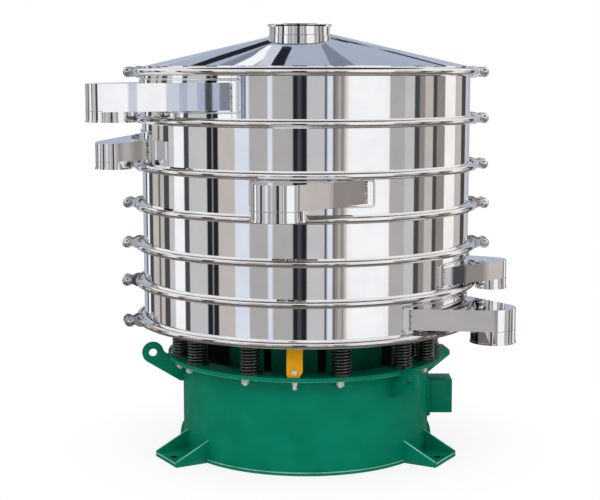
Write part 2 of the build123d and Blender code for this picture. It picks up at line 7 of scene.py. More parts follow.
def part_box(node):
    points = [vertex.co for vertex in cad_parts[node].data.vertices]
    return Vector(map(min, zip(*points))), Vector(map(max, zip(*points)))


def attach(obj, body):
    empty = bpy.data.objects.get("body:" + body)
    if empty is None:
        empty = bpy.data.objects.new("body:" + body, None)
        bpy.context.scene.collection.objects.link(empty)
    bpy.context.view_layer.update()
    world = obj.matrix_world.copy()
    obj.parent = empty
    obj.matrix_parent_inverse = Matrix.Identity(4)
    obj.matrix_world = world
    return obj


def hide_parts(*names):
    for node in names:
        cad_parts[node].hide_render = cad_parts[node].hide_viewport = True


# A round vibrating screen dressed for its portrait. Geometry is worked out in
# millimetres and set down in metres. Angles run round the machine's axis from the
# front (-Y) towards the right (+X), in degrees.

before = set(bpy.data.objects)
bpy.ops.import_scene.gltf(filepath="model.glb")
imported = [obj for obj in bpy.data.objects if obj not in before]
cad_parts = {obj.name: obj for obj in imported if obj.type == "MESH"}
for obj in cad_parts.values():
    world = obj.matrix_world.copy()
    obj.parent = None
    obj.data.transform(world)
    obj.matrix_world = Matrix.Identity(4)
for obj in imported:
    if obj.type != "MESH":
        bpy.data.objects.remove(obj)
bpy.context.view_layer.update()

MM = 0.001
BODY = "root"

# Places read from the frame
JOINTS = 7


def box_mm(node):
    """Lowest and highest corner of a CAD node, in millimetres."""
    low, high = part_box(node)
    return low / MM, high / MM


RING_Z = [sum(corner.z for corner in box_mm(f"clamp_ring_{n + 1}")) / 2 for n in range(JOINTS)]
BASE_TOP = box_mm("base_flange")[1].z
BASE_FLANGE_UNDER = box_mm("base_flange")[0].z
BASE_FLANGE_R = box_mm("base_flange")[1].y
TABLE_UNDER = box_mm("spring_table")[0].z
NECK_TOP = box_mm("feed_neck")[1].z

# Sheet metal and clamp rings
SHELL_R = 500.0
RING_GROOVE_R = 516.3
RING_LIP_R = 512.6
RING_OUTER_R = 526.0
RING_HALF_H = 9.5
RING_GROOVE_HALF_H = 5.3
RING_SPLIT_GAP = 34.0
RING_STEPS = 144
LEFT_SPLITS = (-97.0, -104.0, -97.0, -93.0, -89.0, -85.0, -77.0)
RIGHT_SPLITS = (96.0, 95.0, 95.0, 92.0, 89.0, 102.0, 88.0)
NECK_AXIS = (-19.0, -150.0)
NECK_R = 89.0

# Outlets from the top frame down: angle and reach of the spout's axis past the shell, spout
# radius, the two mouth angles, drop of the roof below the upper joint, depth of the channel
OUTLETS = (
    (-65.0, 117.0, 74.0, -79.0, -24.0, 33.0, 79.0),
    (-71.0, 98.0, 52.0, -88.0, -66.0, 62.0, 57.0),
    (-7.0, 106.0, 77.0, -15.0, 21.0, 12.0, 69.0),
    (150.0, 106.0, 76.0, 123.0, 159.0, 19.0, 64.0),
    (79.5, 72.0, 46.0, 51.0, 86.0, 41.0, 54.0),
    (57.0, 139.0, 64.0, 36.0, 71.0, 32.0, 62.0),
)
# Angle of each frame's upright seam
FRAME_SEAMS = (13.0, 12.0, -140.0, 12.6, 160.0, 11.0)
# How far each mouth's two corners stand from the CAD ones in the photograph, in degrees
MOUTH_SHIFTS = ((0.0, -0.4), (0.0, -2.0), (0.0, -2.3), (0.0, 0.0), (1.7, 0.0), (0.0, 0.0))
COLLAR_R = 503.0
OUTLET_SHEET = 3.0
COLLAR_MARGIN = 8.0
COLLAR_SIDE_ANGLE = 3.0
COLLAR_CORNER_R = 9.0
COLLAR_RIM_R = 3.2
RING_TO_COLLAR = 4.0
# Rise of each channel's roof and of its floor from the spout to the mouth
CHANNEL_RISES = ((3.0, 7.0), (19.0, 3.0), (0.0, 3.0), (0.0, 3.0), (2.0, 3.0), (2.0, 4.0))
# What tells an outlet's flat walls and its collar from its other faces: how far a point may lie
# from them, the least width of a wall, and the angles past a mouth's corner that move with it
ON_COLLAR = 0.3
ON_WALL = 0.4
ON_BOWED_WALL = 0.6
WALL_MIN_W = 45.0
CORNER_BAND = (1.0, 6.0)
# Slight bow of a flat wall, which bends what it reflects: outlet, its wall (0 low angle, 1 high
# angle), and the turn of the sheet in degrees at shares of the run from mouth to spout
WALL_BOWS = {
    2: (1, ((0.0, -15.2), (1.0, -16.0))),
    3: (1, ((0.0, -3.0), (0.44, -0.9), (0.5, 0.8), (1.0, 4.1))),
    5: (0, ((0.0, -7.2), (0.27, -5.2), (0.47, -3.6), (0.53, -3.1), (1.0, -2.7))),
    6: (0, ((0.0, -13.5), (1.0, -13.9))),
}
# Forward tilt of a roof's shading in degrees, by outlet
ROOF_TILTS = {3: 7.0}
# Height of the flares over and under each joint in the CAD and in the photograph
FLARE_H = 17.0
FLARE_SHOWN_H = 12.5
ON_FLARE = 0.3
# Height of the lid's eaves over the top joint in the CAD and in the photograph, and the
# height over which a point is on the cone
EAVES_H = 23.0
EAVES_SHOWN_H = 15.0
CONE_FOOT_H = 18.5
# Rise of the lid's cone over its run, which its shading keeps
CONE_SLOPE = 109.0 / 500.0

# Lugs at the ring ends
LUG_T = 8.0
LUG_BOLT_R = 551.0
LUG_EYE_R = 16.0
LUG_ROOT_HALF_H = 18.0
LUG_ROOT_R = 523.3
LUG_WAIST_R = 534.3
LUG_WAIST_HALF_H = 11.5
LUG_FORK_R = 507.8
LUG_FORK_HALF_H = 12.0
LUG_EDGE = 1.2
LUG_BOLT_SHANK_R = 6.0
LUG_NUT_ACROSS = 24.0
LUG_NUT_H = 9.0
LUG_WASHER_R = 14.0
LUG_WASHER_T = 2.5
LUG_CAP_R = 9.5
LUG_CAP_TIP_R = 0.1
LUG_CAP_SINK = 0.5

# Weld beads and seams: radius of each, where they lie, and the steps along them
MOUTH_WELD_R = 2.8
MOUTH_WELD_OUT = 0.8
MOUTH_WELD_ANGLE = 0.4
SPOUT_WELD_R = 0.9
SPOUT_WELD_HALF_ANGLE = 62.0
FRAME_SEAM_R = 0.7
NECK_SEAM_R = 0.8
NECK_SEAM_OUT = 2.1
NECK_SEAM_DROP = 32.0
WALL_WELD_R = 2.4
GUSSET_WELD_R = 2.2
UPRIGHT_WELD_R = 2.6
FLANGE_WELD_R = 2.0
WELD_OUT = 0.6
RIPPLE_SWELL = 0.28
RIPPLE_TURN = 1.9
WELD_STEP = 3.0
LONG_STEP = 6.0

# Transport locks and the springs beside them
LOCK_ANGLES = (-4.5, 115.5, 235.5)
LOCK_FACE_R = 420.0
LOCK_HOLE_H = 16.0
SPRING_OFFSETS = (-50.0, -19.5, 19.5, 50.0)
SPRING_CIRCLE_R = 393.0
SPRING_COIL_R = 26.2
SPRING_WIRE_R = 3.8
SPRING_TURNS = 10.5
SPRING_SEAT_R = 33.0
SPRING_SEAT_H = 9.0

# Base wall, feet, lifting lugs and pad, for their painted welds and painted edge highlights
BASE_R = 383.0
FOOT_RING_R = 387.0
FOOT_RING_H = 10.0
FOOT_ANGLES = (-60.0, 60.0, 180.0)
FOOT_HALF_W = 73.0
FOOT_T = 12.0
FOOT_TIP_R = 483.0
FOOT_HOLE_CIRCLE_R = 455.0
FOOT_GUSSET_T = 8.0
FOOT_GUSSET_H = 57.0
FOOT_GUSSET_TIP_H = 5.0
LIFTING_ANGLES = (-79.0, 41.0, 161.0)
LIFTING_HALF_T = 7.0
LIFTING_ROOT_H = 74.0
PAD_HALF_W = 57.0
PAD_TOP = 214.0
PAD_BOTTOM = 93.0

# Bolts under the base flange and at the locks: hexagons by width across flats and height, washers by
# outer radius, bore radius and thickness, threaded ends by radius and length
BOLT_CIRCLE_R = 405.0
BOLT_OFFSETS = (-54.5, -21.0, 18.5, 54.5)
SPRING_BOLT = (19.0, 18.0)
SPRING_BOLT_END = (6.0, 4.0)
LOCK_BOLT = (14.0, 7.0)
LOCK_WASHER = (8.5, 5.0, 1.4)
STUD_OUT = 4.0
STUD_NUT = (15.0, 9.0)
STUD_WASHER = (9.5, 4.0, 1.8)
STUD_END = (6.5, 14.0)

# Radii of the painted edge highlights on the foot ring, flange, foot gussets and foot plates
FOOT_RING_EDGE_R = 1.7
FLANGE_EDGE_R = 0.9
GUSSET_EDGE_R = 1.9
PLATE_EDGE_R = 1.8

# Dark tube in a foot's anchor hole, painted shade there: inner and outer radius
HOLE_SHADE_TUBE_R = (10.3, 10.9)

# How a CAD mesh is cleaned and its edges told: distance in metres, angles in degrees
MERGE_DISTANCE = 1e-6
FLAT_ANGLE = 0.4
BROKEN_EDGE_ANGLE = 35.0
SHARP_ANGLE = 30.0
# What tells facets of round walls, roofs, upright walls and the lid's cone, by their normals,
# and how far a facet's corners may differ in radius (mm) and turn (share of the radius)
LEAST_RADIAL = 0.1
MOST_SIDEWAYS = 0.06
ROOF_AXIAL = 0.9
UPRIGHT_AXIAL = 0.01
CONE_AXIALS = (0.9, 0.995)
INWARD_RADIAL = -0.5
FACET_RADIUS_SPAN = 0.15
FACET_TURN = 0.13
# Radius in millimetres under which a point is on the axis
ON_AXIS = 0.1

# Photograph's camera, found from the sag of the rings: place in metres, pitch in
# degrees below the horizon, focal length in pixels of the 600 pixel wide frame
CAMERA_PLACE = (-0.0175, -4.103, 1.144)
CAMERA_PITCH = 7.45
CAMERA_FOCAL_PX = 1330.0
FRAME_WIDTH_PX = 600.0
SENSOR_MM = 36.0


# Materials


def linear(text):
    """Linear colour of an sRGB hex value."""
    channels = [int(text[i:i + 2], 16) / 255 for i in (0, 2, 4)]
    return tuple(c / 12.92 if c <= 0.04045 else ((c + 0.055) / 1.055) ** 2.4 for c in channels) + (1.0,)


def add(material, kind, links=(), output=0, stops=(), **settings):
    """Adds a node and gives one of its outputs.

    Links are (input, socket) pairs, stops are a colour ramp's (position, hex colour) pairs, and
    settings are properties or input values. Inputs and the output go by name or number.
    """
    node = material.node_tree.nodes.new("ShaderNode" + kind)
    for name, value in settings.items():
        label = name.replace("_", " ").title().replace("Ior", "IOR")
        if label in node.inputs:
            node.inputs[label].default_value = value
        else:
            setattr(node, name, value)
    for name, socket in links:
        material.node_tree.links.new(socket, node.inputs[name])
    if stops:
        elements = node.color_ramp.elements
        while len(elements) < len(stops):
            elements.new(1.0)
        for element, (position, colour) in zip(elements, stops):
            element.position = position
            element.color = linear(colour)
    return node.outputs[output] if node.outputs else None


def new_material(name):
    material = bpy.data.materials.new(name)
    material.use_nodes = True
    material.node_tree.nodes.clear()
    return material


def surface(material, shader):
    """The material, finished with a shader for its surface."""
    add(material, "OutputMaterial", [("Surface", shader)])
    return material


def mottle(material, millimetres, detail):
    """Uneven pattern whose cells are about so many millimetres, in the object's own place."""
    place = add(material, "TexCoord", output="Object")
    return add(material, "TexNoise", [("Vector", place)], scale=1000.0 / millimetres, detail=detail)


def tones(material, shade, light, millimetres, detail):
    """Two close tones that drift over the surface."""
    return add(material, "ValToRGB", [("Fac", mottle(material, millimetres, detail))],
               stops=[(0.35, shade), (0.65, light)])


def relief(material, millimetres, detail, strength, depth_mm):
    """Uneven relief of the surface, only in its shading."""
    return add(material, "Bump", [("Height", mottle(material, millimetres, detail))],
               strength=strength, distance=depth_mm * MM)


def metal(name, light, shade, rough, wave_mm, wave_strength, wave_depth_mm):
    """Bare steel: two close tones, roughness that drifts, and a faint waviness of the sheet."""
    material = new_material(name)
    links = [
        ("Base Color", tones(material, shade, light, 90.0, 4.0)),
        ("Roughness", add(material, "MapRange", [("Value", mottle(material, 35.0, 5.0))],
                          to_min=rough[0], to_max=rough[1])),
        ("Normal", relief(material, wave_mm, 1.0, wave_strength, wave_depth_mm)),
    ]
    return surface(material, add(material, "BsdfPrincipled", links, metallic=1.0))


def passivated_fastener():
    """Hexagon bolts with a pale yellow passivate over the zinc: warm, bright and half matt."""
    material = new_material("yellow_passivated_zinc_fastener")
    colour = tones(material, "D8C8BC", "FBF2EA", 9.0, 3.0)
    return surface(material, add(material, "BsdfPrincipled", [("Base Color", colour)],
                                 metallic=0.35, roughness=0.35))


def weld_bead():
    """TIG bead left as welded: rough ripples with straw and blue heat tint."""
    material = new_material("tig_weld_bead_stainless")
    tint = add(material, "ValToRGB", [("Fac", mottle(material, 14.0, 3.0))],
               stops=[(0.3, "8D8F99"), (0.5, "D8D3CC"), (0.7, "B39E83")])
    links = [("Base Color", tint), ("Normal", relief(material, 2.5, 3.0, 0.5, 0.3))]
    return surface(material, add(material, "BsdfPrincipled", links, metallic=1.0, roughness=0.32))


def paint(name, light, shade, rough, gloss, coat, peel_mm, peel_strength, coat_ior=1.5):
    """Sprayed paint: two close tones, orange peel and a clear gloss over it."""
    material = new_material(name)
    links = [
        ("Base Color", tones(material, shade, light, 70.0, 4.0)),
        ("Normal", relief(material, peel_mm, 2.0, peel_strength, 0.2)),
    ]
    return surface(material, add(material, "BsdfPrincipled", links, roughness=rough,
                                 specular_ior_level=gloss, coat_weight=coat, coat_ior=coat_ior,
                                 coat_roughness=0.12))


def woven_wire_cloth():
    """Plain woven stainless screen cloth, drawn at a coarse 6 mm pitch so that it shows."""
    material = new_material("woven_stainless_screen_cloth")
    place = add(material, "TexCoord", output="Object")
    warp, weft = (add(material, "TexWave", [("Vector", place)], output="Fac", bands_direction=direction,
                      scale=1000.0 / 6.0 / 6.28) for direction in ("X", "Y"))
    height = add(material, "Math", [(0, warp), (1, weft)], operation="MAXIMUM")
    # Darker in the low parts and openings of the weave, lighter on the wire tops: painted shade
    colour = add(material, "ValToRGB", [("Fac", height)], stops=[(0.3, "3C3D40"), (0.8, "C9CACD")])
    weave = add(material, "Bump", [("Height", height)], strength=0.6, distance=0.6 * MM)
    links = [("Base Color", colour), ("Normal", weave)]
    return surface(material, add(material, "BsdfPrincipled", links, metallic=1.0, roughness=0.3))


# Stainless sheet buffed to a mirror: sharp reflections that bend a little with the sheet
MIRROR = metal("mirror_polished_stainless_304", "F4F5F7", "EDEEF1", rough=(0.015, 0.035),
               wave_mm=160.0, wave_strength=0.03, wave_depth_mm=1.0)
# Rolled and buffed ring stock: bright, with soft edges to its reflections
RING_STEEL = metal("roll_formed_stainless_ring", "EFEDEC", "DEDBDA", rough=(0.06, 0.12),
                   wave_mm=40.0, wave_strength=0.1, wave_depth_mm=0.3)
# Bright zinc on forged fasteners: cool grey, mottled, softly glossy
ZINC = metal("bright_zinc_plated_steel", "EEF2F8", "BCC4D2", rough=(0.14, 0.3),
             wave_mm=6.0, wave_strength=0.4, wave_depth_mm=0.3)
FASTENER = passivated_fastener()
WELD = weld_bead()
# Alkyd machine enamel sprayed on welded plate: deep blue-green, glossy, slightly pebbled
GREEN = paint("gloss_alkyd_enamel_green", "007F64", "00765C",
              rough=0.42, gloss=0.03, coat=0.15, peel_mm=5.0, peel_strength=0.1)
# The same enamel in a paler tone along the sharp edges: a painted highlight
EDGE_HIGHLIGHT_GREEN = paint("enamel_green_painted_edge_highlight", "8FD0C0", "4FAF98",
                   rough=0.3, gloss=0.5, coat=0.2, peel_mm=4.0, peel_strength=0.3)
# Near-black paint on the inside of the base and in the foot holes: painted shade, so the openings read as
# deep shade
SHADE_BLACK = paint("painted_shade_near_black", "0B0E0E", "050707",
               rough=0.8, gloss=0.1, coat=0.0, peel_mm=4.0, peel_strength=0.1)
# Warning orange on the transport locks: brushed on, half gloss
ORANGE = paint("satin_enamel_orange", "FFB507", "FCA902",
               rough=0.4, gloss=0.1, coat=0.05, peel_mm=4.0, peel_strength=0.1)
# Coil spring wire dipped in black paint, worn to a sheen on the turns
BLACK = paint("black_dipped_spring_steel", "101114", "060709",
              rough=0.3, gloss=0.5, coat=1.0, peel_mm=3.0, peel_strength=0.12, coat_ior=2.2)
# Grey primer and finish on the cast motor housing
MOTOR_GREY = paint("cast_iron_grey_finish", "6B737A", "596169",
                   rough=0.5, gloss=0.5, coat=0.1, peel_mm=3.0, peel_strength=0.3)
CLOTH = woven_wire_cloth()


# Mesh building


def around(angle, radius=0.0, z=0.0):
    """Place on the circle at an angle: local X points outward, local Y along the circle."""
    return Matrix.Rotation(radians(angle - 90.0), 4, "Z") @ Matrix.Translation((radius, 0, z))


def moved(x=0.0, y=0.0, z=0.0):
    return Matrix.Translation((x, y, z))


def turned_to(axis):
    """Rotation that takes local +Z to an axis."""
    return Vector((0, 0, 1)).rotation_difference(Vector(axis)).to_matrix().to_4x4()


def linked(name, data):
    """New object of some data, in the scene."""
    thing = bpy.data.objects.new(name, data)
    bpy.context.scene.collection.objects.link(thing)
    return thing


class Piece:
    """Mesh under construction in millimetres, joined from separate closed parts."""

    def __init__(self):
        self.points = []
        self.faces = []

    def add(self, shape, place=Matrix()):
        points, faces = shape
        start = len(self.points)
        self.points += [place @ Vector(point) for point in points]
        self.faces += [[start + index for index in face] for face in faces]

    def build(self, name, material, slot, replaces=(), smooth=32.0):
        mesh = bpy.data.meshes.new(name)
        mesh.from_pydata([point * MM for point in self.points], [], self.faces)
        mesh.validate()
        mesh.materials.append(material)
        mesh.shade_smooth()
        mesh.set_sharp_from_angle(angle=radians(smooth))
        return settle(name, mesh, replaces)


def settle(name, mesh, replaces=()):
    """Object of a finished mesh, riding on the machine."""
    piece = linked(name, mesh)
    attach(piece, BODY)
    if replaces:
        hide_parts(*replaces)
    return piece


def lofted(rings, closed_rings=True, capped=False, closed_loop=False):
    """Skin over rings of points that all have the same count."""
    count = len(rings[0])
    points = [point for ring in rings for point in ring]
    faces = []
    for r in range(len(rings) if closed_loop else len(rings) - 1):
        here, there = r * count, (r + 1) % len(rings) * count
        for i in range(count if closed_rings else count - 1):
            j = (i + 1) % count
            faces.append((here + i, here + j, there + j, there + i))
    if capped:
        faces.append(tuple(reversed(range(count))))
        last = (len(rings) - 1) * count
        faces.append(tuple(range(last, last + count)))
    return points, faces


def lathe(profile, segments=192, start=0.0, sweep=360.0):
    """Closed (radius, height) outline turned about the axis, between two angles or all round."""
    full = sweep >= 360.0
    steps = segments if full else segments + 1
    rings = []
    for step in range(steps):
        angle = radians(start + sweep * step / segments - 90.0)
        rings.append([(r * cos(angle), r * sin(angle), z) for r, z in profile])
    return lofted(rings, capped=not full, closed_loop=full)


def spindle(profile, segments):
    """Solid of revolution about local Z whose outline starts and ends on the axis."""
    rings = []
    for r, z in profile:
        rings.append([(r * cos(2 * pi * s / segments), r * sin(2 * pi * s / segments), z)
                      for s in range(segments)])
    return lofted(rings, capped=True)


def arc_points(centre, radius, start, end, steps):
    """Points on an arc in a plane, angles in degrees."""
    angles = [radians(start + (end - start) * step / steps) for step in range(steps + 1)]
    return [(centre[0] + radius * cos(a), centre[1] + radius * sin(a)) for a in angles]


def hexagon(across, height, sides=48):
    """Hexagon nut or head along +Z with its upper corners chamfered to a circle."""
    crown_r = 0.475 * across
    lower, upper, crown = [], [], []
    for step in range(sides):
        angle = 2 * pi * step / sides
        off_flat = (angle + pi / 6) % (pi / 3) - pi / 6
        flat_r = across / 2 / cos(off_flat)
        drop = max(0.0, flat_r - crown_r) * tan(radians(30))
        lower.append((flat_r * cos(angle), flat_r * sin(angle), 0))
        upper.append((flat_r * cos(angle), flat_r * sin(angle), height - drop))
        crown.append((crown_r * cos(angle), crown_r * sin(angle), height))
    return lofted([lower, upper, crown], capped=True)


def washer(outer_r, inner_r, thickness):
    edge = 0.15 * thickness
    profile = [(inner_r, 0), (outer_r, 0), (outer_r, thickness - edge), (outer_r - edge, thickness),
               (inner_r, thickness)]
    return lathe(profile, 40)


def threaded_end(radius, length, pitch=1.5, depth=0.45):
    """Bolt end along +Z with ridges for its thread and a chamfered tip."""
    root = radius - depth
    outline = [(root, 0)]
    height = 0.0
    while height + pitch < length - 1.0:
        outline += [(radius, height + pitch / 2), (root, height + pitch)]
        height += pitch
    outline += [(root, length - 0.8), (radius - 1.3, length)]
    return spindle(outline, 20)


def swept(points, radius, sides, swell=None):
    """Round bar along a row of points; swell gives each point's own share of the radius."""
    rings = []
    path = [Vector(point) for point in points]
    guide = None
    for index, point in enumerate(path):
        ahead = path[min(index + 1, len(path) - 1)]
        behind = path[max(index - 1, 0)]
        direction = (ahead - behind).normalized()
        if guide is None:
            guide = direction.orthogonal().normalized()
        guide = (guide - guide.dot(direction) * direction).normalized()
        side = direction.cross(guide)
        size = radius * (swell(index) if swell else 1.0)
        rings.append([point + size * (cos(a) * guide + sin(a) * side)
                      for a in (2 * pi * s / sides for s in range(sides))])
    return lofted(rings, capped=True)


def rounded_plate(outline, thickness, edge):
    """Upright plate in the local XZ plane, centred on y = 0, with broken edges."""
    inner = []
    count = len(outline)
    for index in range(count):
        before, here, after = (Vector(outline[(index + k) % count]) for k in (-1, 0, 1))
        d1, d2 = (here - before).normalized(), (after - here).normalized()
        n1, n2 = Vector((-d1.y, d1.x)), Vector((-d2.y, d2.x))
        share = n1 + n2
        inner.append(here + share * edge / max(0.3, 1 + n1.dot(n2)))
    half = thickness / 2
    rings = [
        [(x, -half, z) for x, z in inner],
        [(x, -half + edge, z) for x, z in outline],
        [(x, half - edge, z) for x, z in outline],
        [(x, half, z) for x, z in inner],
    ]
    return lofted(rings, capped=True)


def dressed(node, material, bevel=0.0, turned=False, axes=(), reshape=None, bow=None,
            slope=None):
    """Copy of a CAD node's mesh with broken edges, and true normals where it is round about an axis."""
    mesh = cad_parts[node].data.copy()
    mesh.materials.clear()
    mesh.materials.append(material)
    tool = bmesh.new()
    tool.from_mesh(mesh)
    bmesh.ops.remove_doubles(tool, verts=tool.verts, dist=MERGE_DISTANCE)
    bmesh.ops.dissolve_limit(tool, angle_limit=radians(FLAT_ANGLE), verts=tool.verts, edges=tool.edges)
    if reshape:
        reshape(tool)
    if bow:
        bow.cut(tool)
    edging = tool.faces.layers.int.new("edging")
    if bevel:
        least = radians(BROKEN_EDGE_ANGLE)
        sharp = [edge for edge in tool.edges if edge.is_manifold and edge.calc_face_angle(0) > least]
        made = bmesh.ops.bevel(tool, geom=sharp, offset=bevel * MM, segments=2, profile=0.5,
                               affect="EDGES", clamp_overlap=True)
        for face in made["faces"]:
            face[edging] = 1
    for face in tool.faces:
        face.smooth = True
    tool.to_mesh(mesh)
    tool.free()
    mesh.set_sharp_from_angle(angle=radians(SHARP_ANGLE))
    if turned:
        turn_normals(mesh, slope)
    elif axes:
        round_normals(mesh, [Vector(axis) * MM for axis in axes], bow)
    return settle(node + "_skin", mesh, [node])


def facet_normals(mesh, face, axes):
    """Normals at a face's corners: radial if the face is a facet round one of the axes."""
    points = [mesh.vertices[index].co for index in face.vertices]
    for axis in axes:
        out = (face.center.xy - axis).normalized()
        along = Vector((-out.y, out.x))
        radial = face.normal.xy.dot(out)
        if abs(radial) < LEAST_RADIAL or abs(face.normal.xy.dot(along)) > MOST_SIDEWAYS:
            continue
        radii = [(point.xy - axis).length for point in points]
        turns = [abs((point.xy - axis).dot(along)) for point in points]
        if max(radii) - min(radii) > FACET_RADIUS_SPAN * MM or max(turns) > FACET_TURN * max(radii):
            continue
        normals = []
        for point in points:
            away = (point.xy - axis).normalized() * radial
            normals.append(Vector((away.x, away.y, face.normal.z)).normalized())
        return normals
    return [face.normal.copy() for _ in points]


def round_normals(mesh, axes, bow=None):
    """True normals for round and flat faces; the narrow faces of broken edges blend between them."""
    edging = mesh.attributes["edging"].data
    shared = {}
    found = {}
    for face in mesh.polygons:
        if edging[face.index].value:
            continue
        if bow and bow.holds(face.center, face.normal):
            found[face.index] = bow.normals(mesh, face)
        else:
            found[face.index] = facet_normals(mesh, face, axes)
        for vertex, normal in zip(face.vertices, found[face.index]):
            shared.setdefault(vertex, []).append(normal)
    loops = [Vector((0, 0, 1))] * len(mesh.loops)
    for face in mesh.polygons:
        for corner, loop in enumerate(face.loop_indices):
            vertex = mesh.loops[loop].vertex_index
            if face.index in found:
                loops[loop] = found[face.index][corner]
            elif vertex in shared:
                loops[loop] = sum(shared[vertex], Vector()).normalized()
            else:
                loops[loop] = mesh.vertices[vertex].normal
    mesh.normals_split_custom_set([tuple(normal) for normal in loops])


def turn_normals(mesh, slope=None):
    """Normals of a true surface of revolution, in place of those of its flat facets.

    Where a slope is given, the faces of a cone are shaded with it.
    """
    normals = []
    for face in mesh.polygons:
        centre = face.center
        out = Vector((centre.x, centre.y, 0)).normalized()
        along = Vector((-out.y, out.x, 0))
        radial, axial, sideways = face.normal.dot(out), face.normal.z, face.normal.dot(along)
        if slope and CONE_AXIALS[0] < axial < CONE_AXIALS[1]:
            radial, sideways = slope * axial, 0.0
        for loop in face.loop_indices:
            point = mesh.vertices[mesh.loops[loop].vertex_index].co
            if abs(sideways) > MOST_SIDEWAYS or hypot(point.x, point.y) < ON_AXIS * MM:
                normals.append(face.normal)
            else:
                normals.append(Vector((point.x, point.y, 0)).normalized() * radial + Vector((0, 0, axial)))
    mesh.normals_split_custom_set([tuple(n.normalized()) for n in normals])


# Body: sieve frames, decks, pan, lid and neck


def on_plan(angle, radius):
    return radius * sin(radians(angle)), -radius * cos(radians(angle))


def tangent_point(point, centre, radius, side):
    """Point where a line from a point touches a circle; side is +1 or -1."""
    away = Vector(point) - Vector(centre)
    heading = atan2(away.y, away.x) + side * acos(radius / away.length)
    return Vector((centre[0] + radius * cos(heading), centre[1] + radius * sin(heading)))


def mouth_angles(number):
    """The two corners of an outlet's mouth as the photograph shows them."""
    _, _, _, low, high, _, _ = OUTLETS[number - 1]
    low_shift, high_shift = MOUTH_SHIFTS[number - 1]
    return low + low_shift, high + high_shift


def run_walls_to_mouth(number):
    """Straightener for an outlet: its flat walls run on from the spout to the corners of the mouth."""
    tip, reach, spout_r, cut_low, cut_high, _, _ = OUTLETS[number - 1]
    centre = Vector(on_plan(tip, SHELL_R + reach))
    corners = mouth_angles(number)
    shifts = (corners[0] - cut_low, corners[1] - cut_high)

    def place_on_wall(radius, mouth, touch, angle):
        if radius < COLLAR_R + ON_COLLAR:
            return Vector(on_plan(angle, radius))
        run = touch - mouth
        slope = mouth.dot(run)
        gap = mouth.length_squared - radius ** 2
        share = (-slope + sqrt(max(0.0, slope ** 2 - run.length_squared * gap))) / run.length_squared
        return mouth + share * run

    def reshape(tool):
        moves = {}
        for face in tool.faces:
            points = [vertex.co.xy / MM for vertex in face.verts]
            width = max((a - b).length for a in points for b in points)
            offset = face.normal.xy.dot(face.calc_center_median().xy / MM - centre)
            inner = offset < 0.0
            radius = spout_r - OUTLET_SHEET if inner else spout_r
            upright = abs(face.normal.z) <= UPRIGHT_AXIAL
            if not upright or width < WALL_MIN_W or abs(abs(offset) - radius) > ON_WALL:
                continue
            for corner, side in zip(corners, (1, -1)):
                angle = corner + side * degrees(OUTLET_SHEET / COLLAR_R) if inner else corner
                mouth = Vector(on_plan(angle, COLLAR_R))
                touch = tangent_point(mouth, centre, radius, side)
                if abs((touch - centre).dot(face.normal.xy)) < 0.8 * radius:
                    continue
                if (touch - centre).dot(points[0] - centre) < 0.0:
                    continue
                for vertex, point in zip(face.verts, points):
                    moves[vertex] = place_on_wall(point.length, mouth, touch, angle)
        for vertex in tool.verts:
            point = vertex.co.xy / MM
            if vertex in moves or point.length > COLLAR_R + ON_COLLAR:
                continue
            angle = degrees(atan2(point.x, -point.y))
            for cut, shift, side in ((cut_low, shifts[0], -1), (cut_high, shifts[1], 1)):
                if CORNER_BAND[0] < side * (angle - cut) < CORNER_BAND[1]:
                    moves[vertex] = Vector(on_plan(angle + shift, point.length))
        for vertex, point in moves.items():
            vertex.co.x, vertex.co.y = point * MM

    return reshape


class WallBow:
    """Slight bow of one flat wall of an outlet, and the tilt of its roof, both in the shading."""

    def __init__(self, number):
        side, self.stops = WALL_BOWS[number]
        tip, reach, spout_r, _, _, _, _ = OUTLETS[number - 1]
        centre = Vector(on_plan(tip, SHELL_R + reach))
        self.mouth = Vector(on_plan(mouth_angles(number)[side], COLLAR_R))
        self.run = tangent_point(self.mouth, centre, spout_r, (1, -1)[side]) - self.mouth
        self.tilt = Matrix.Rotation(radians(ROOF_TILTS.get(number, 0.0)), 3, "X")

    def share(self, point):
        return (point.xy / MM - self.mouth).dot(self.run) / self.run.length_squared

    def holds(self, centre, normal):
        """Tells a face of this wall's outer side, or of the roof, by its centre and normal."""
        if normal.z > ROOF_AXIAL:
            return True
        off = abs((centre.xy / MM - self.mouth).cross(self.run)) / self.run.length
        return abs(normal.z) < UPRIGHT_AXIAL and off < ON_BOWED_WALL and 0.0 < self.share(centre) < 1.0

    def cut(self, tool):
        """Divides the wall where its bow changes."""
        for share, _ in self.stops[1:-1]:
            upright = [face for face in tool.faces if face.normal.z < ROOF_AXIAL]
            faces = [face for face in upright if self.holds(face.calc_center_median(), face.normal)]
            edges = {edge for face in faces for edge in face.edges}
            corners = {vertex for face in faces for vertex in face.verts}
            x, y = (self.mouth + share * self.run) * MM
            bmesh.ops.bisect_plane(tool, geom=[*faces, *edges, *corners], plane_co=(x, y, 0),
                                   plane_no=(self.run.x, self.run.y, 0))

    def turn(self, share):
        for (start, first), (end, last) in zip(self.stops, self.stops[1:]):
            if share <= end:
                return first + (last - first) * (max(share, start) - start) / (end - start)
        return self.stops[-1][1]

    def normals(self, mesh, face):
        if face.normal.z > ROOF_AXIAL:
            return [self.tilt @ face.normal] * len(face.vertices)
        found = []
        for index in face.vertices:
            angle = radians(self.turn(self.share(mesh.vertices[index].co)))
            found.append(Matrix.Rotation(angle, 3, "Z") @ face.normal)
        return found


def tuck_flares(tool):
    """Shortens the flares beside each bead."""
    for vertex in tool.verts:
        for ring in RING_Z:
            rise = vertex.co.z / MM - ring
            if abs(abs(rise) - FLARE_H) < ON_FLARE:
                vertex.co.z = (ring + copysign(FLARE_SHOWN_H, rise)) * MM


def lower_eaves(tool):
    """Sets the lid's cone straight on its flare: it sinks by an even share of its radius."""
    tuck_flares(tool)
    for vertex in tool.verts:
        if vertex.co.z / MM - RING_Z[0] > CONE_FOOT_H:
            vertex.co.z -= (EAVES_H - EAVES_SHOWN_H) * vertex.co.xy.length / SHELL_R


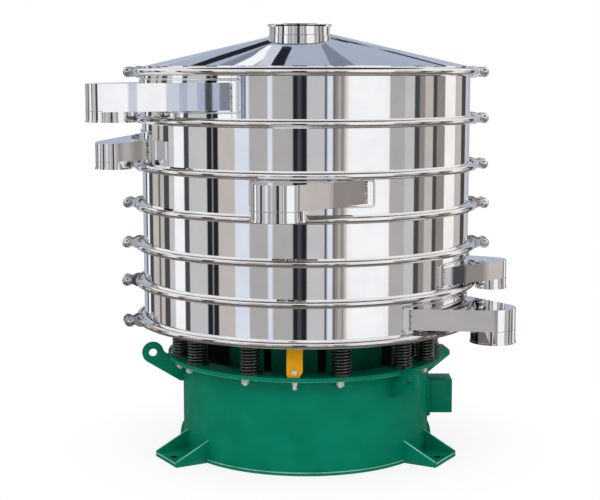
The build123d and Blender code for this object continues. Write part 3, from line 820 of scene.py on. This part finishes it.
def dress_body():
    centre = (0.0, 0.0)
    for number, outlet in enumerate(OUTLETS, start=1):
        dressed(f"sieve_frame_{number}", MIRROR, turned=True, reshape=tuck_flares)
        spout = on_plan(outlet[0], SHELL_R + outlet[1])
        dressed(f"outlet_{number}", MIRROR, bevel=0.9, axes=(centre, spout),
                reshape=run_walls_to_mouth(number), bow=WallBow(number) if number in WALL_BOWS else None)
    for number in range(1, JOINTS - 1):
        dressed(f"screen_deck_{number}", CLOTH, turned=True)
    dressed("bottom_pan", MIRROR, turned=True)
    dressed("lid", MIRROR, turned=True, reshape=lower_eaves, slope=CONE_SLOPE)
    dressed("feed_neck", MIRROR, axes=(NECK_AXIS,)).visible_glossy = False


def ripples(index):
    """Swell of a weld bead along its run, one ripple every few points."""
    return 1.0 + RIPPLE_SWELL * sin(index * RIPPLE_TURN)


def spaced(start, end, step=2.0):
    """Points a step apart on a straight run."""
    start, end = Vector(start), Vector(end)
    count = max(2, round((end - start).length / step))
    return [start.lerp(end, index / count) for index in range(count + 1)]


def arc_run(centre, radius, z, start, end, step=2.0):
    """Points a step apart on a level arc between two angles, measured as the machine's angles are."""
    count = max(2, round(radians(abs(end - start)) * radius / step))
    points = []
    for index in range(count + 1):
        x, y = on_plan(start + (end - start) * index / count, radius)
        points.append(Vector((centre[0] + x, centre[1] + y, z)))
    return points


def collar_rim(number):
    """Rolled rim of a mouth's collar: a rounded rectangle laid on the collar's face."""
    _, _, _, _, _, drop, depth = OUTLETS[number - 1]
    low, high = mouth_angles(number)
    roof_rise, floor_rise = CHANNEL_RISES[number - 1]
    roof = RING_Z[number - 1] - drop
    half_w = radians((high - low) / 2 + COLLAR_SIDE_ANGLE) * COLLAR_R
    top, bottom = roof + roof_rise + COLLAR_MARGIN, roof - depth + floor_rise - COLLAR_MARGIN
    top = min(top, RING_Z[number - 1] - RING_HALF_H - RING_TO_COLLAR)
    middle_z, half_h = (top + bottom) / 2, (top - bottom) / 2
    path = []
    for across, up, start in ((1, 1, 0), (-1, 1, 90), (-1, -1, 180), (1, -1, 270)):
        corner = (across * (half_w - COLLAR_CORNER_R), middle_z + up * (half_h - COLLAR_CORNER_R))
        path += arc_points(corner, COLLAR_CORNER_R, start, start + 90, 8)
    path.append(path[0])
    points = []
    for (s1, z1), (s2, z2) in zip(path, path[1:]):
        steps = max(1, round(hypot(s2 - s1, z2 - z1) / 4.0))
        for step in range(steps):
            share = step / steps
            turn = (low + high) / 2 + degrees((s1 + (s2 - s1) * share) / COLLAR_R)
            x, y = on_plan(turn, COLLAR_R)
            points.append((x, y, z1 + (z2 - z1) * share))
    points.append(points[0])
    return swept(points, COLLAR_RIM_R, 10)


def body_welds():
    """Weld lines of the outlets' mouths and spout stubs, the frames' upright seams and the neck."""
    for number, (tip, reach, spout_r, _, _, drop, depth) in enumerate(OUTLETS, start=1):
        beads, rim, seam = Piece(), Piece(), Piece()
        roof = RING_Z[number - 1] - drop
        under = roof - depth
        axis = on_plan(tip, SHELL_R + reach)
        for mouth, side in zip(mouth_angles(number), (-1, 1)):
            x, y = on_plan(mouth + side * MOUTH_WELD_ANGLE, COLLAR_R + MOUTH_WELD_OUT)
            beads.add(swept(spaced((x, y, under + 3), (x, y, roof)), MOUTH_WELD_R, 7, ripples))
        start, end = tip - SPOUT_WELD_HALF_ANGLE, tip + SPOUT_WELD_HALF_ANGLE
        stub = arc_run(axis, spout_r + 0.1, under - 0.5, start, end)
        beads.add(swept(stub, SPOUT_WELD_R, 5, ripples))
        beads.build(f"outlet_{number}_welds", WELD, "stainless_polished")
        rim.add(collar_rim(number))
        rim.build(f"outlet_{number}_collar_rim", MIRROR, "stainless_polished", smooth=60)
        x, y = on_plan(FRAME_SEAMS[number - 1], SHELL_R)
        top, bottom = RING_Z[number - 1] - FLARE_SHOWN_H, RING_Z[number] + FLARE_SHOWN_H
        seam.add(swept(spaced((x, y, bottom), (x, y, top), LONG_STEP), FRAME_SEAM_R, 5))
        seam.build(f"sieve_frame_{number}_seam", MIRROR, "stainless_polished")
    neck = Piece()
    circle = arc_run(NECK_AXIS, NECK_R + NECK_SEAM_OUT, NECK_TOP - NECK_SEAM_DROP, 0, 360)
    neck.add(swept(circle, NECK_SEAM_R, 5, ripples))
    neck.build("feed_neck_seam", WELD, "stainless_polished").visible_glossy = False


# Clamp rings


def ring_outline():
    """Closed outline of the rolled ring: round bead outside, V groove inside."""
    rise = RING_OUTER_R - RING_LIP_R
    radius = (RING_HALF_H ** 2 + rise ** 2) / (2 * rise)
    centre = (RING_OUTER_R - radius, 0)
    half_span = degrees(atan2(RING_HALF_H, RING_LIP_R - centre[0]))
    bead = arc_points(centre, radius, -half_span, half_span, 24)
    return bead + [(RING_GROOVE_R, RING_GROOVE_HALF_H), (RING_GROOVE_R, -RING_GROOVE_HALF_H)]


def lug_outline():
    """Lug plate: forked root over the bead, waist and round eye."""
    touch = degrees(atan2(LUG_WAIST_HALF_H, -sqrt(LUG_EYE_R ** 2 - LUG_WAIST_HALF_H ** 2)))
    eye = arc_points((LUG_BOLT_R, 0), LUG_EYE_R, touch, -touch, 20)
    upper = [
        (RING_GROOVE_R, LUG_FORK_HALF_H), (LUG_FORK_R, LUG_FORK_HALF_H), (LUG_FORK_R, LUG_ROOT_HALF_H),
        (LUG_ROOT_R, LUG_ROOT_HALF_H), (LUG_WAIST_R, LUG_WAIST_HALF_H),
    ]
    lower = [(r, -z) for r, z in reversed(upper)]
    return list(reversed(upper + eye + lower))


def clamp_rings():
    gap = degrees(RING_SPLIT_GAP / 2 / RING_OUTER_R)
    outline, plate = ring_outline(), rounded_plate(lug_outline(), LUG_T, LUG_EDGE)
    for number, (z, left, right) in enumerate(zip(RING_Z, LEFT_SPLITS, RIGHT_SPLITS), start=1):
        ring, bolts = Piece(), Piece()
        for start, end in ((left + gap, right - gap), (right + gap, left + 360 - gap)):
            ring.add(lathe(outline, RING_STEPS, start, end - start), moved(z=z))
            for angle, side in ((start, 1), (end, -1)):
                ring.add(plate, around(angle, 0, z) @ moved(y=side * LUG_T / 2))
        ring.build(f"clamp_ring_{number}_bead", RING_STEEL, "stainless_rings", [f"clamp_ring_{number}"])
        for split in (left, right):
            for part, place in closing_bolt(split, z):
                bolts.add(part, place)
        bolts.build(f"clamp_ring_{number}_bolts", ZINC, "stainless_rings")


def closing_bolt(split, z):
    """Bolt that draws two ring ends together: shank, and at each end washer, nut and domed cap."""
    half = RING_SPLIT_GAP / 2 + LUG_T
    along = around(split, LUG_BOLT_R, z)
    shank = spindle([(LUG_BOLT_SHANK_R, -half), (LUG_BOLT_SHANK_R, half)], 20)
    parts = [(shank, along @ turned_to((0, 1, 0)))]
    cap_z = LUG_WASHER_T + LUG_NUT_H - LUG_CAP_SINK
    dome = [(LUG_CAP_TIP_R, 0.0), *arc_points((0, 0), LUG_CAP_R, 0, 75, 5), (LUG_CAP_TIP_R, LUG_CAP_R)]
    for side in (-1, 1):
        out = along @ turned_to((0, side, 0)) @ moved(z=half)
        parts.append((washer(LUG_WASHER_R, LUG_BOLT_SHANK_R, LUG_WASHER_T), out))
        parts.append((hexagon(LUG_NUT_ACROSS, LUG_NUT_H), out @ moved(z=LUG_WASHER_T)))
        parts.append((spindle(dome, 28), out @ moved(z=cap_z)))
    return parts


# Springs

SPRING_ANGLES = [lock + offset for lock in LOCK_ANGLES for offset in SPRING_OFFSETS]


def springs():
    coils, seats = Piece(), Piece()
    height = TABLE_UNDER - BASE_TOP
    steps = int(SPRING_TURNS * 28)
    path = []
    for step in range(steps + 1):
        turn = 2 * pi * SPRING_TURNS * step / steps
        z = BASE_TOP + SPRING_WIRE_R + (height - 2 * SPRING_WIRE_R) * step / steps
        path.append((SPRING_COIL_R * cos(turn), SPRING_COIL_R * sin(turn), z))
    coil = swept(path, SPRING_WIRE_R, 10)
    seat_inner, seat_top = SPRING_COIL_R - 2 * SPRING_WIRE_R, BASE_TOP + SPRING_SEAT_H
    seat = lathe([(seat_inner, BASE_TOP), (SPRING_SEAT_R, BASE_TOP), (SPRING_SEAT_R, seat_top - 1),
                  (SPRING_SEAT_R - 1, seat_top), (seat_inner, seat_top)], 48)
    for angle in SPRING_ANGLES:
        place = around(angle, SPRING_CIRCLE_R)
        coils.add(coil, place)
        seats.add(seat, place)
    coils.build("spring_coils", BLACK, "spring_black", ["springs"], smooth=60)
    seats.build("spring_seats", BLACK, "spring_black")


# Base, drum and locks


def dress_base():
    for node in ("base_shell", "base_flange", "spring_table", "motor_drum"):
        skin = dressed(node, GREEN, turned=True)
        if node == "base_shell":
            # The wall's inward faces are painted near-black as painted shade
            shade_inside(skin)
    for node in ("cable_arches", "foot_left", "foot_right", "foot_rear", "lifting_lug_left",
                 "lifting_lug_right", "lifting_lug_rear", "terminal_box", "side_shelf"):
        dressed(node, GREEN, bevel=1.5)
    dressed("transport_locks", ORANGE, bevel=1.0)
    dressed("drive_motor", MOTOR_GREY, turned=True)


def shade_inside(skin):
    """Paints the faces that look inward near-black, as painted shade inside the base."""
    skin.data.materials.append(SHADE_BLACK)
    for face in skin.data.polygons:
        out = Vector((face.center.x, face.center.y, 0)).normalized()
        if face.normal.dot(out) < INWARD_RADIAL:
            face.material_index = 1


def base_fasteners():
    """Spring bolts under the flange, and the bolts and studs of the transport locks."""
    metalwork = Piece()
    down = turned_to((0, 0, -1))
    for angle in (lock + offset for lock in LOCK_ANGLES for offset in BOLT_OFFSETS):
        under = around(angle, BOLT_CIRCLE_R, BASE_FLANGE_UNDER) @ down
        metalwork.add(hexagon(*SPRING_BOLT), under)
        metalwork.add(threaded_end(*SPRING_BOLT_END), under @ moved(z=SPRING_BOLT[1]))
    for angle in LOCK_ANGLES:
        face = around(angle, LOCK_FACE_R, BASE_TOP + LOCK_HOLE_H) @ turned_to((1, 0, 0))
        metalwork.add(washer(*LOCK_WASHER), face)
        metalwork.add(hexagon(*LOCK_BOLT), face @ moved(z=LOCK_WASHER[2]))
        stud = around(angle, BOLT_CIRCLE_R + STUD_OUT, BASE_FLANGE_UNDER) @ down
        metalwork.add(washer(*STUD_WASHER), stud)
        metalwork.add(hexagon(*STUD_NUT), stud @ moved(z=STUD_WASHER[2]))
        metalwork.add(threaded_end(*STUD_END), stud @ moved(z=STUD_WASHER[2] + STUD_NUT[1]))
    metalwork.build("base_bolts", FASTENER, "enamel_green")


def on_wall(y):
    """Reach of the base's wall at an offset to the side of a local radius."""
    return sqrt(BASE_R ** 2 - y ** 2)


def base_welds():
    """Fillet welds under the paint: feet, lifting lugs, pad and the joint of wall and flange."""
    beads = Piece()
    wall_r = BASE_R + WELD_OUT

    def bead(points, radius, place=Matrix()):
        beads.add(swept(points, radius, 6, ripples), place)

    def upright(angle, root, y, low, high, radius):
        bead(spaced((root, y, low), (root, y, high), WELD_STEP), radius, around(angle))

    for angle in FOOT_ANGLES:
        for side in (-1, 1):
            for face in (FOOT_HALF_W, FOOT_HALF_W - FOOT_GUSSET_T):
                upright(angle, on_wall(face), side * face, FOOT_T, FOOT_T + FOOT_GUSSET_H, WALL_WELD_R)
            y = side * (FOOT_HALF_W - FOOT_GUSSET_T)
            foot = spaced((on_wall(y), y, FOOT_T), (FOOT_TIP_R - 2, y, FOOT_T), WELD_STEP)
            bead(foot, GUSSET_WELD_R, around(angle))
        span = degrees(FOOT_HALF_W / BASE_R) - 2
        bead(arc_run((0, 0), wall_r, FOOT_T, angle - span, angle + span, WELD_STEP), WALL_WELD_R)
    low, high = BASE_FLANGE_UNDER - LIFTING_ROOT_H, BASE_FLANGE_UNDER
    for side in (-1, 1):
        for angle in LIFTING_ANGLES:
            upright(angle, BASE_R, side * LIFTING_HALF_T, low, high, UPRIGHT_WELD_R)
        upright(90.0, on_wall(PAD_HALF_W), side * PAD_HALF_W, PAD_BOTTOM, PAD_TOP, UPRIGHT_WELD_R)
    bead(arc_run((0, 0), wall_r, BASE_FLANGE_UNDER, 0, 360, LONG_STEP), FLANGE_WELD_R)
    beads.build("base_welds", GREEN, "enamel_green", smooth=50)


def hole_shade_tubes():
    """Near-black tubes inside the anchor holes of the feet: painted shade."""
    linings = Piece()
    inner, outer = HOLE_SHADE_TUBE_R
    low, high = 0.5, FOOT_T - 0.5
    tube = lathe([(inner, low), (outer, low), (outer, high), (inner, high)], 40)
    for angle in FOOT_ANGLES:
        linings.add(tube, around(angle, FOOT_HOLE_CIRCLE_R))
    linings.build("foot_hole_painted_shade", SHADE_BLACK, "enamel_green")


def edge_highlights():
    """Painted highlights: paler rounds along the edges of the foot ring, flange, foot plates and gussets."""
    edges = Piece()

    def edge(points, radius, place=Matrix()):
        edges.add(swept(points, radius, 6), place)

    edge(arc_run((0, 0), FOOT_RING_R - 0.6, FOOT_RING_H - 0.6, 0, 360, LONG_STEP), FOOT_RING_EDGE_R)
    edge(arc_run((0, 0), BASE_FLANGE_R - 0.8, BASE_FLANGE_UNDER + 0.8, 0, 360, LONG_STEP),
         FLANGE_EDGE_R)
    high, low = FOOT_T + FOOT_GUSSET_H - 1.0, FOOT_T + FOOT_GUSSET_TIP_H - 1.0
    tip, half = FOOT_TIP_R - 1.2, FOOT_HALF_W - 2
    for angle in FOOT_ANGLES:
        for side in (-1, 1):
            y = side * (FOOT_HALF_W - 1.2)
            slope = spaced((on_wall(y), y, high), (FOOT_TIP_R - 2, y, low), LONG_STEP)
            edge(slope, GUSSET_EDGE_R, around(angle))
        front = spaced((tip, -half, FOOT_T - 1), (tip, half, FOOT_T - 1), LONG_STEP)
        edge(front, PLATE_EDGE_R, around(angle))
    edges.build("base_edge_highlights", EDGE_HIGHLIGHT_GREEN, "enamel_green", smooth=50)


# Studio, in metres: floor, cards that the mirror finish reflects, lamps, world and camera

CARD_RING_R = 2.9
CARD_RING_FOOT = -0.15
CARD_RING_TOP = 1.75
CARD_FADE = 0.5
WHITE = "FFFFFF"
TONES = {
    "black": "23262C",
    "slate": "4A4B4E",
    "umber": "746B65",
    "taupe": "938B85",
    "stone": "B4B0AE",
    "sand": "C6BEB9",
    "steel": "808692",
    "dusk": "7D8899",
    "mist": "CDD3DF",
    "silver": "C9C7C7",
    "screen": "A9B4C6",
    "haze": "B0BACB",
    "sky": "E1E7F2",
    "cream": "FFFBF6",
    "white": WHITE,
}
# Cards round the machine: tone, and the angles between which each stands
CARDS = (
    ("haze", -180, -141), ("slate", -141, -137), ("white", -137, -132), ("slate", -132, -124.5),
    ("sand", -124.5, -115), ("umber", -115, -112), ("sand", -112, -107), ("slate", -107, -100.5),
    ("silver", -100.5, -94.5), ("white", -94.5, -84.5), ("slate", -84.5, -80), ("silver", -80, -65),
    ("black", -65, -61), ("taupe", -61, -60.3), ("black", -60.3, -56.5), ("sand", -56.5, -44.8),
    ("sky", -44.8, -35.2), ("stone", -35.2, -23.4), ("sky", -23.4, -20.5), ("stone", -20.5, -8),
    ("black", -8, -5.2), ("slate", -5.2, -2.8), ("black", -2.8, 0.5), ("silver", 0.5, 11.4),
    ("slate", 11.4, 12.3), ("sky", 12.9, 16.2), ("umber", 16.2, 17.7), ("taupe", 17.7, 19.5),
    ("stone", 19.5, 21.1), ("taupe", 21.1, 23), ("cream", 25.5, 28), ("white", 28, 50),
    ("cream", 50, 53.2), ("stone", 53.2, 64), ("silver", 65, 72.2), ("slate", 72.2, 76.5),
    ("taupe", 76.5, 81.3), ("sand", 81.3, 89), ("slate", 89, 93), ("taupe", 93, 102),
    ("cream", 102, 116), ("sand", 116, 127.3), ("slate", 127.3, 136.8), ("silver", 136.8, 145),
    ("haze", 145, 180),
)
# Screen behind and above, which only the lid reflects: its two angles and two heights, and the
# cards before it, each by tone and corners as (angle, height)
LID_SCREEN_R = 2.85
LID_SCREEN = (-145.0, -215.0, 1.75, 3.1)
LID_CARD_R = 2.82
LID_CARDS = (
    ("black", ((-178, 2.09), (-160, 2.11), (-160, 2.19), (-170, 2.27), (-176, 2.34))),
    ("dusk", ((-176, 2.34), (-174, 2.335), (-168, 2.35), (-168, 2.46), (-172.4, 2.442), (-174.2, 2.35))),
    ("white", ((-174.2, 2.35), (-172.4, 2.442), (-168, 2.46), (-168, 2.6), (-174.1, 2.53), (-174.7, 2.39))),
    ("mist", ((-174.7, 2.39), (-174.1, 2.53), (-171, 2.7), (-174.9, 2.64), (-175.7, 2.565), (-176.4, 2.49))),
    ("black", ((-176.4, 2.49), (-175.7, 2.565), (-174.9, 2.64), (-174.5, 2.7), (-176.7, 2.7), (-177.4, 2.6),
               (-178.0, 2.54))),
    ("dusk", ((-182.8, 2.52), (-183.5, 2.59), (-184.4, 2.7), (-189, 2.7), (-187.6, 2.57), (-185.7, 2.52),
                (-183.7, 2.47))),
    ("black", ((-185, 2.24), (-191.6, 1.89), (-197.5, 1.8), (-205, 1.7), (-205, 1.75), (-197.5, 1.86),
               (-191.6, 1.96), (-185, 2.3))),
)
# Level cards: name, tone, inner and outer radius, height. A brown ring at floor level and a dark
# ceiling make the lower and upper edges of the beads go dark
LEVEL_CARDS = (
    ("studio_floor_card", "umber", 0.45, 2.9, CARD_RING_FOOT),
    ("studio_ceiling_card", "black", 0.01, 1.9, 3.1),
)
LEVEL_CARD_T = 0.01
# Flags just in front of the ring: tone, and angles between which each stands
FLAG_RING_R = 2.84
FLAG_HEIGHTS = (0.92, 1.4)
FLAGS = (
    ("white", -56.0, -46.8), ("mist", -46.8, -46.0), ("white", -46.0, -43.4), ("mist", -43.4, -42.2),
    ("haze", -42.2, -41.5), ("mist", -41.5, -40.6), ("haze", -40.6, -39.9), ("slate", -39.9, -39.25),
    ("haze", -39.25, -38.6), ("steel", -38.6, -37.0),
)

# Floor, lamps and surroundings
FLOOR_HALF_W = 60.0
AMBIENT = 0.75
LAMP_TARGET = (0, 0, 0.7)
LAMP_SIZE = 2.0


def glow(name, colour):
    """Plain card as bright as its colour is written."""
    material = new_material(name)
    return surface(material, add(material, "Emission", color=linear(colour), strength=1.0))


def staged(name, mesh):
    """Studio object that isn't part of the machine."""
    thing = linked(name, mesh)
    return thing


def card(name, material, points, faces):
    """Studio card that shows in reflections alone."""
    mesh = bpy.data.meshes.new(name)
    mesh.from_pydata(points, [], faces)
    mesh.materials.append(material)
    thing = staged(name, mesh)
    thing.visible_camera = False
    thing.visible_diffuse = False
    thing.visible_shadow = False
    thing.visible_transmission = False
    return mesh


def card_ring():
    """Wall of cards round the machine, each fading a little into the next."""
    stops = []
    for tone, start, end in CARDS:
        fade = min(CARD_FADE, (end - start) / 3)
        stops += [(start + fade, linear(TONES[tone])), (end - fade, linear(TONES[tone]))]
    points, colours = [], []
    for (here, first), (there, second) in zip(stops, stops[1:]):
        steps = max(1, round((there - here) / 2))
        for step in range(steps):
            share = step / steps
            colours += [[(1 - share) * a + share * b for a, b in zip(first, second)]] * 2
            x, y = on_plan(here + (there - here) * share, CARD_RING_R)
            points += [(x, y, CARD_RING_FOOT), (x, y, CARD_RING_TOP)]
    count = len(points) // 2
    faces = [(2 * k, 2 * k + 1, 2 * ((k + 1) % count) + 1, 2 * ((k + 1) % count)) for k in range(count)]
    material = new_material("studio_card_tones")
    tone = add(material, "Attribute", attribute_name="card_tone")
    surface(material, add(material, "Emission", [("Color", tone)], strength=1.0))
    mesh = card("studio_card_ring", material, points, faces)
    layer = mesh.color_attributes.new("card_tone", "FLOAT_COLOR", "POINT")
    for index, colour in enumerate(colours):
        layer.data[index].color = colour


def plain_card(name, tone, points, faces=None):
    """Card of a single tone, with one face unless more are given."""
    card(name, glow(f"{name}_tone", TONES[tone]), points, faces or [tuple(range(len(points)))])


def lid_screen():
    """Screen that the lid's cone reflects, with its darker and lighter cards just in front."""
    start, end, low, high = LID_SCREEN
    rings = []
    steps = 24
    for step in range(steps + 1):
        x, y = on_plan(start + (end - start) * step / steps, LID_SCREEN_R)
        rings.append([(x, y, low), (x, y, high)])
    plain_card("studio_lid_screen", "screen", *lofted(rings, closed_rings=False))
    for number, (tone, corners) in enumerate(LID_CARDS, start=1):
        points = [(*on_plan(angle, LID_CARD_R), height) for angle, height in corners]
        plain_card(f"studio_lid_card_{number}", tone, points)


def flags():
    """Small flags whose tones the outlets' flat walls pick up."""
    low, high = FLAG_HEIGHTS
    for number, (tone, start, end) in enumerate(FLAGS, start=1):
        one, other = on_plan(start, FLAG_RING_R), on_plan(end, FLAG_RING_R)
        plain_card(f"studio_flag_{number}", tone,
                   [(*one, low), (*other, low), (*other, high), (*one, high)])


def level_cards():
    """Flat level rings or discs, each of one tone."""
    for name, tone, inner, outer, height in LEVEL_CARDS:
        top = height + LEVEL_CARD_T
        outline = [(inner, height), (outer, height), (outer, top), (inner, top)]
        plain_card(name, tone, *lathe(outline, 64))


def reflected_or_seen(material):
    """1 for rays that show the background: from the camera, or through gloss or glass."""
    path = add(material, "LightPath").node.outputs
    total = path["Is Camera Ray"]
    for kind in ("Is Glossy Ray", "Is Transmission Ray"):
        total = add(material, "Math", [(0, total), (1, path[kind])], operation="MAXIMUM")
    return total


def floor():
    """Pale floor that runs out to white, and takes the machine's shadow close to it."""
    half = FLOOR_HALF_W
    mesh = bpy.data.meshes.new("studio_floor")
    mesh.from_pydata([(-half, -half, 0), (half, -half, 0), (half, half, 0), (-half, half, 0)], [],
                     [(0, 1, 2, 3)])
    material = new_material("pale_studio_floor")
    lit = add(material, "BsdfDiffuse", color=linear("F2F2F2"))
    white = add(material, "Emission", color=linear(WHITE), strength=1.0)
    place = add(material, "TexCoord", output="Object")
    reach = add(material, "VectorMath", [("Vector", place)], output="Value", operation="LENGTH")
    far = add(material, "MapRange", [("Value", reach)], from_min=0.4, from_max=0.8, to_min=0.82)
    share = add(material, "Math", [(0, reflected_or_seen(material)), (1, far)], operation="MULTIPLY")
    mix = add(material, "MixShader", [("Fac", share), (1, lit), (2, white)])
    mesh.materials.append(surface(material, mix))
    staged("studio_floor", mesh).visible_glossy = False


def lamp(name, place, watts):
    light = bpy.data.lights.new(name, "AREA")
    light.size = LAMP_SIZE
    light.energy = watts
    thing = linked(name, light)
    thing.location = place
    thing.rotation_euler = (Vector(LAMP_TARGET) - Vector(place)).to_track_quat("-Z", "Y").to_euler()
    thing.visible_glossy = False


def surroundings():
    """Even ambient light whose background shows white."""
    world = bpy.data.worlds.new("studio_world")
    bpy.context.scene.world = world
    world.use_nodes = True
    world.node_tree.nodes.clear()
    strength = add(world, "MapRange", [("Value", reflected_or_seen(world))], to_min=AMBIENT)
    background = add(world, "Background", [("Strength", strength)], color=linear(WHITE))
    add(world, "OutputWorld", [("Surface", background)])


def portrait_camera():
    camera = bpy.data.cameras.new("portrait_camera")
    camera.sensor_width = SENSOR_MM
    camera.lens = CAMERA_FOCAL_PX / FRAME_WIDTH_PX * SENSOR_MM
    camera.clip_end = 100.0
    thing = linked("portrait_camera", camera)
    thing.location = CAMERA_PLACE
    thing.rotation_euler = (radians(90.0 - CAMERA_PITCH), 0, 0)
    bpy.context.scene.camera = thing


def studio():
    floor()
    card_ring()
    lid_screen()
    flags()
    level_cards()
    lamp("key_lamp", (-2.2, -3.2, 3.6), 70)
    lamp("fill_lamp", (3.0, -2.6, 2.4), 30)
    surroundings()
    portrait_camera()
    bpy.context.scene.view_settings.view_transform = "Standard"


dress_body()
body_welds()
clamp_rings()
springs()
dress_base()
base_fasteners()
base_welds()
edge_highlights()
hole_shade_tubes()
studio()
